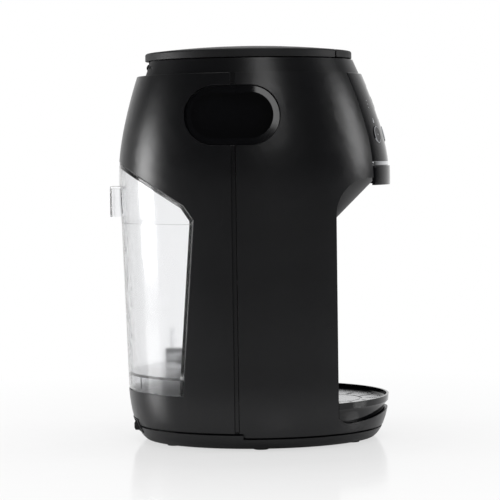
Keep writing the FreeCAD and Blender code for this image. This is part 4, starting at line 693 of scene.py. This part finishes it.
def pull_corners(shape, test, move):
    """Moves the corners that pass a test."""
    pick(shape)
    bpy.ops.object.mode_set(mode="EDIT")
    bpy.ops.mesh.select_mode(type="VERT")
    bpy.ops.mesh.select_all(action="DESELECT")
    mesh = bmesh.from_edit_mesh(shape.data)
    for corner in mesh.verts:
        corner.select = test(corner.co)
    bmesh.update_edit_mesh(shape.data)
    bpy.ops.transform.translate(value=move)
    bpy.ops.object.mode_set(mode="OBJECT")
    return shape


def print_on(shapes, piece, x, z, direction=FRONT, over=None):
    """Lays joined flat shapes on a dressed piece, bends them to it and gives them a thickness.
    Where they lie round a second piece, its surface gives their place and tilt."""
    pick(*shapes)
    bpy.ops.object.join()
    mark = bpy.context.object
    place, normal = surface_at(over or piece, x, z, direction)
    mark.matrix_world = facing(place, normal)
    wrap = mark.modifiers.new("follow the surface", "SHRINKWRAP")
    wrap.target = bpy.data.objects[piece]
    wrap.wrap_method = "PROJECT"
    wrap.use_project_z = True
    wrap.use_negative_direction = True
    bpy.ops.object.modifier_apply(modifier=wrap.name)
    ink = mark.modifiers.new("ink", "SOLIDIFY")
    ink.thickness = 2 * bpy.context.scene.maker_sizes.mark_proud
    ink.offset = 0.0
    bpy.ops.object.modifier_apply(modifier=ink.name)
    return mark


def loop(radius, line):
    """A flat ring: a round line of a given width."""
    bpy.ops.object.select_all(action="DESELECT")
    bpy.ops.mesh.primitive_circle_add(vertices=RING_CORNERS, radius=radius + line / 2, fill_type="NGON")
    piece = bpy.context.object
    bpy.ops.object.mode_set(mode="EDIT")
    bpy.ops.mesh.select_all(action="SELECT")
    bpy.ops.mesh.inset(thickness=line)
    bpy.ops.mesh.delete(type="FACE")
    bpy.ops.object.mode_set(mode="OBJECT")
    return piece


def drop_icon(size):
    """A drop of water: a disc whose uppermost corners are pulled up. As in the other symbols,
    its measures are shares of its size."""
    drop = flat_shape(DISC_CORNERS, size * 0.32, turn=math.pi / DISC_CORNERS)
    top = size * 0.26
    pull_corners(drop, lambda place: place.y > top, (0.0, size * 0.42, 0.0))
    return [shift(drop, 0.0, -size * 0.14)]


def start_icon(size):
    """A circle with a triangle in it."""
    ring = loop(size * 0.5, bpy.context.scene.maker_sizes.mark_line)
    return [ring, flat_shape(TRIANGLE, size * 0.26, turn=-math.pi / 2)]


def bottle_icon(size):
    """A feeding bottle: body, collar and teat."""
    body = flat_shape(SQUARE, size * 0.42, turn=math.pi / 4, wide=0.8, tall=1.05)
    collar = flat_shape(SQUARE, size * 0.2, turn=math.pi / 4, wide=1.8, tall=0.5)
    teat = flat_shape(DOT_CORNERS, size * 0.13, wide=1.0, tall=1.3)
    return [shift(body, 0.0, -size * 0.12), shift(collar, 0.0, size * 0.28),
            shift(teat, 0.0, size * 0.44)]


def digit_shapes(high, line):
    """The seven bars of one unlit digit."""
    step = high / 4
    bars = []
    for up in (-2, 0, 2):
        bar = flat_shape(HEXAGON, step * BAR_LENGTH, wide=1.0, tall=line / step)
        bars.append(shift(bar, 0.0, up * step * BAR_RISE))
    for side in (-1, 1):
        for up in (-1, 1):
            bar = flat_shape(HEXAGON, step * BAR_LENGTH, turn=math.pi / 2, wide=line / step, tall=1.0)
            bars.append(shift(bar, side * step * BAR_REACH, up * step * BAR_RISE))
    return bars


def print_on_panel(shapes, x, z, name, over=None):
    """A printed mark on the panel's face."""
    mark = print_on(shapes, "panel_face", x, z, over=over)
    settle(mark, name, "mark", "housing")


class MAKER_OT_marks(bpy.types.Operator):
    """Plain marks on the panel: rings round the keys, symbols, dots, small lamps and unlit digits"""
    bl_idname = "maker.marks"
    bl_label = "Panel marks"

    def execute(self, context):
        sizes = context.scene.maker_sizes
        symbols = {"key_left": drop_icon, "key_start": start_icon, "key_right": bottle_icon}
        for node, symbol in symbols.items():
            low, high = box_of(node)
            x, z = (low.x + high.x) / 2, (low.z + high.z) / 2
            radius = (high.x - low.x) / 2
            cap = node + "_cap"
            ring = loop(radius + sizes.ring_gap + sizes.ring_wire / 2, sizes.ring_wire)
            print_on_panel([ring], x, z, node + "_ring", over=cap)
            lamp = flat_shape(LAMP_CORNERS, sizes.pip)
            body = frame["nodes"][node]["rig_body"]
            settle(print_on([lamp], cap, x, z), node + "_lamp", "mark", body)
            side = -1 if node == "key_start" else 1
            symbol_z = z + side * (radius + sizes.mark_size * ICON_GAP)
            print_on_panel(symbol(sizes.mark_size), x, symbol_z, node + "_symbol")
            if node != "key_start":
                dots = [shift(flat_shape(DOT_CORNERS, sizes.pip * DOT_SHARE), 0.0,
                              step * sizes.mark_size * DOT_PITCH) for step in (-1, 0, 1)]
                dots_z = z + radius + sizes.mark_size * LEVELS_GAP
                print_on_panel(dots, x, dots_z, node + "_levels")
        low, high = box_of("display_window")
        middle = (low + high) / 2
        pitch = sizes.digit_high * DIGIT_PITCH
        for place in (-1, 0, 1):
            bars = digit_shapes(sizes.digit_high, sizes.mark_line * DIGIT_LINE)
            digit = print_on(bars, "panel_window", middle.x + place * pitch, middle.z)
            settle(digit, "window_digit_" + str(place + 2), "unlit", "housing")
        return {"FINISHED"}


class MAKER_OT_funnel(bpy.types.Operator):
    """The mixing funnel and the guard in front of it"""
    bl_idname = "maker.funnel"
    bl_label = "Funnel"

    def execute(self, context):
        smooth_copy("mixing_funnel", "funnel_cone", "liner")
        smooth_copy("spout_guard", "funnel_guard", "gloss")
        return {"FINISHED"}


class MAKER_OT_tank(bpy.types.Operator):
    """The clear water tank with its valve and float, and its bay"""
    bl_idname = "maker.tank"
    bl_label = "Water tank"

    def execute(self, context):
        smooth_copy("tank_body", "tank_shell", "clear")
        smooth_copy("tank_lid", "tank_cover", "clear")
        smooth_copy("tank_valve", "tank_outlet", "milky")
        smooth_copy("tank_float", "tank_float_ring", "milky")
        smooth_copy("tank_bay_panel", "tank_bay_wall", "liner")
        smooth_copy("dock_spigot", "dock_pipe", "white")
        return {"FINISHED"}


class MAKER_OT_tray(bpy.types.Operator):
    """The drip tray and its steel grate"""
    bl_idname = "maker.tray"
    bl_label = "Drip tray"

    def execute(self, context):
        smooth_copy("drip_tray", "tray_tub", "gloss", edge=context.scene.maker_sizes.tray_edge)
        smooth_copy("drip_grate", "tray_grate", "steel")
        return {"FINISHED"}


class MAKER_OT_rear(bpy.types.Operator):
    """The switch and the inlet at the rear, and the feet and screws under the base"""
    bl_idname = "maker.rear"
    bl_label = "Switch, inlet and feet"

    def execute(self, context):
        smooth_copy("switch_plate", "rear_plate", "liner")
        smooth_copy("power_switch", "rear_rocker", "key")
        smooth_copy("power_inlet", "rear_inlet", "liner")
        low, high = box_of("power_switch")
        x, z = (low.x + high.x) / 2, (low.z + high.z) / 2
        sizes = context.scene.maker_sizes
        body, slot = frame["nodes"]["power_switch"]["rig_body"], slot_of("power_switch")
        step = (high.x - low.x) * SWITCH_MARK_OUT
        bar = flat_shape(SQUARE, sizes.pip * SWITCH_BAR, turn=math.pi / 4, wide=0.35, tall=1.6)
        ring = loop(sizes.pip * SWITCH_RING, sizes.mark_line * SWITCH_LINE)
        for shape, name, along in ((bar, "switch_on_mark", step), (ring, "switch_off_mark", -step)):
            mark = print_on([shape], "rear_rocker", x + along, z, direction=-FRONT)
            settle(mark, name, "white", body)
        smooth_copy("rubber_feet", "foot_pads", "rubber")
        smooth_copy("base_screws", "base_screw_heads", "zinc")
        return {"FINISHED"}


INNER_FINISH = {
    "rotor_shaft": "steel", "shaft_bush": "brass", "stirrer": "white", "dosing_wheel": "white",
    "dosing_plate": "white", "powder_chute": "white", "hopper": "grey", "head_deck": "grey",
    "drive_motor": "zinc", "motor_pinion": "white", "water_nozzle": "white", "dock_seal": "rubber",
    "pump": "grey", "pump_mounts": "rubber", "heater": "steel", "heater_stand": "white",
    "thermostat": "zinc", "hose_to_pump": "silicone", "hose_to_heater": "silicone",
    "hose_to_nozzle": "silicone", "chassis_plate": "grey", "main_board": "board",
    "control_board": "board", "display_module": "grey", "switch_cradle": "grey",
    "hinge_pin": "zinc",
}


class MAKER_OT_inner(bpy.types.Operator):
    """Finishes of the pieces inside the casing"""
    bl_idname = "maker.inner"
    bl_label = "Inner works"

    def execute(self, context):
        for node, finish in INNER_FINISH.items():
            paint(frame["nodes"][node], finish)
        return {"FINISHED"}


STEPS = (MAKER_OT_stage, MAKER_OT_casing, MAKER_OT_lid, MAKER_OT_panel, MAKER_OT_marks,
         MAKER_OT_funnel, MAKER_OT_tank, MAKER_OT_tray, MAKER_OT_rear, MAKER_OT_inner)


class MAKER_PT_sidebar(bpy.types.Panel):
    """Lists the steps and the settings"""
    bl_idname = "MAKER_PT_sidebar"
    bl_label = "Formula maker"
    bl_space_type = "VIEW_3D"
    bl_region_type = "UI"
    bl_category = "Formula maker"

    def draw(self, context):
        column = self.layout.column()
        for step in STEPS:
            column.operator(step.bl_idname)
        for group, kind in SETTINGS.items():
            for name in kind.__annotations__:
                column.prop(getattr(context.scene, group), name)


SETTINGS = {"maker_sizes": MakerSizes, "maker_colours": MakerColours, "maker_studio": MakerStudio}


def register():
    """Makes the settings and the steps known to Blender."""
    for kind in (*SETTINGS.values(), *STEPS, MAKER_PT_sidebar):
        bpy.utils.register_class(kind)
    for name, kind in SETTINGS.items():
        setattr(bpy.types.Scene, name, bpy.props.PointerProperty(type=kind))


def unregister():
    """Takes them away again."""
    for name in SETTINGS:
        delattr(bpy.types.Scene, name)
    for kind in (MAKER_PT_sidebar, *reversed(STEPS), *SETTINGS.values()):
        bpy.utils.unregister_class(kind)


def main():
    """Runs every step in order."""
    register()
    FINISH.update(make_materials(bpy.context.scene.maker_colours))
    for step in STEPS:
        group, name = step.bl_idname.split(".")
        getattr(getattr(bpy.ops, group), name)()


if __name__ == "__main__":
    main()
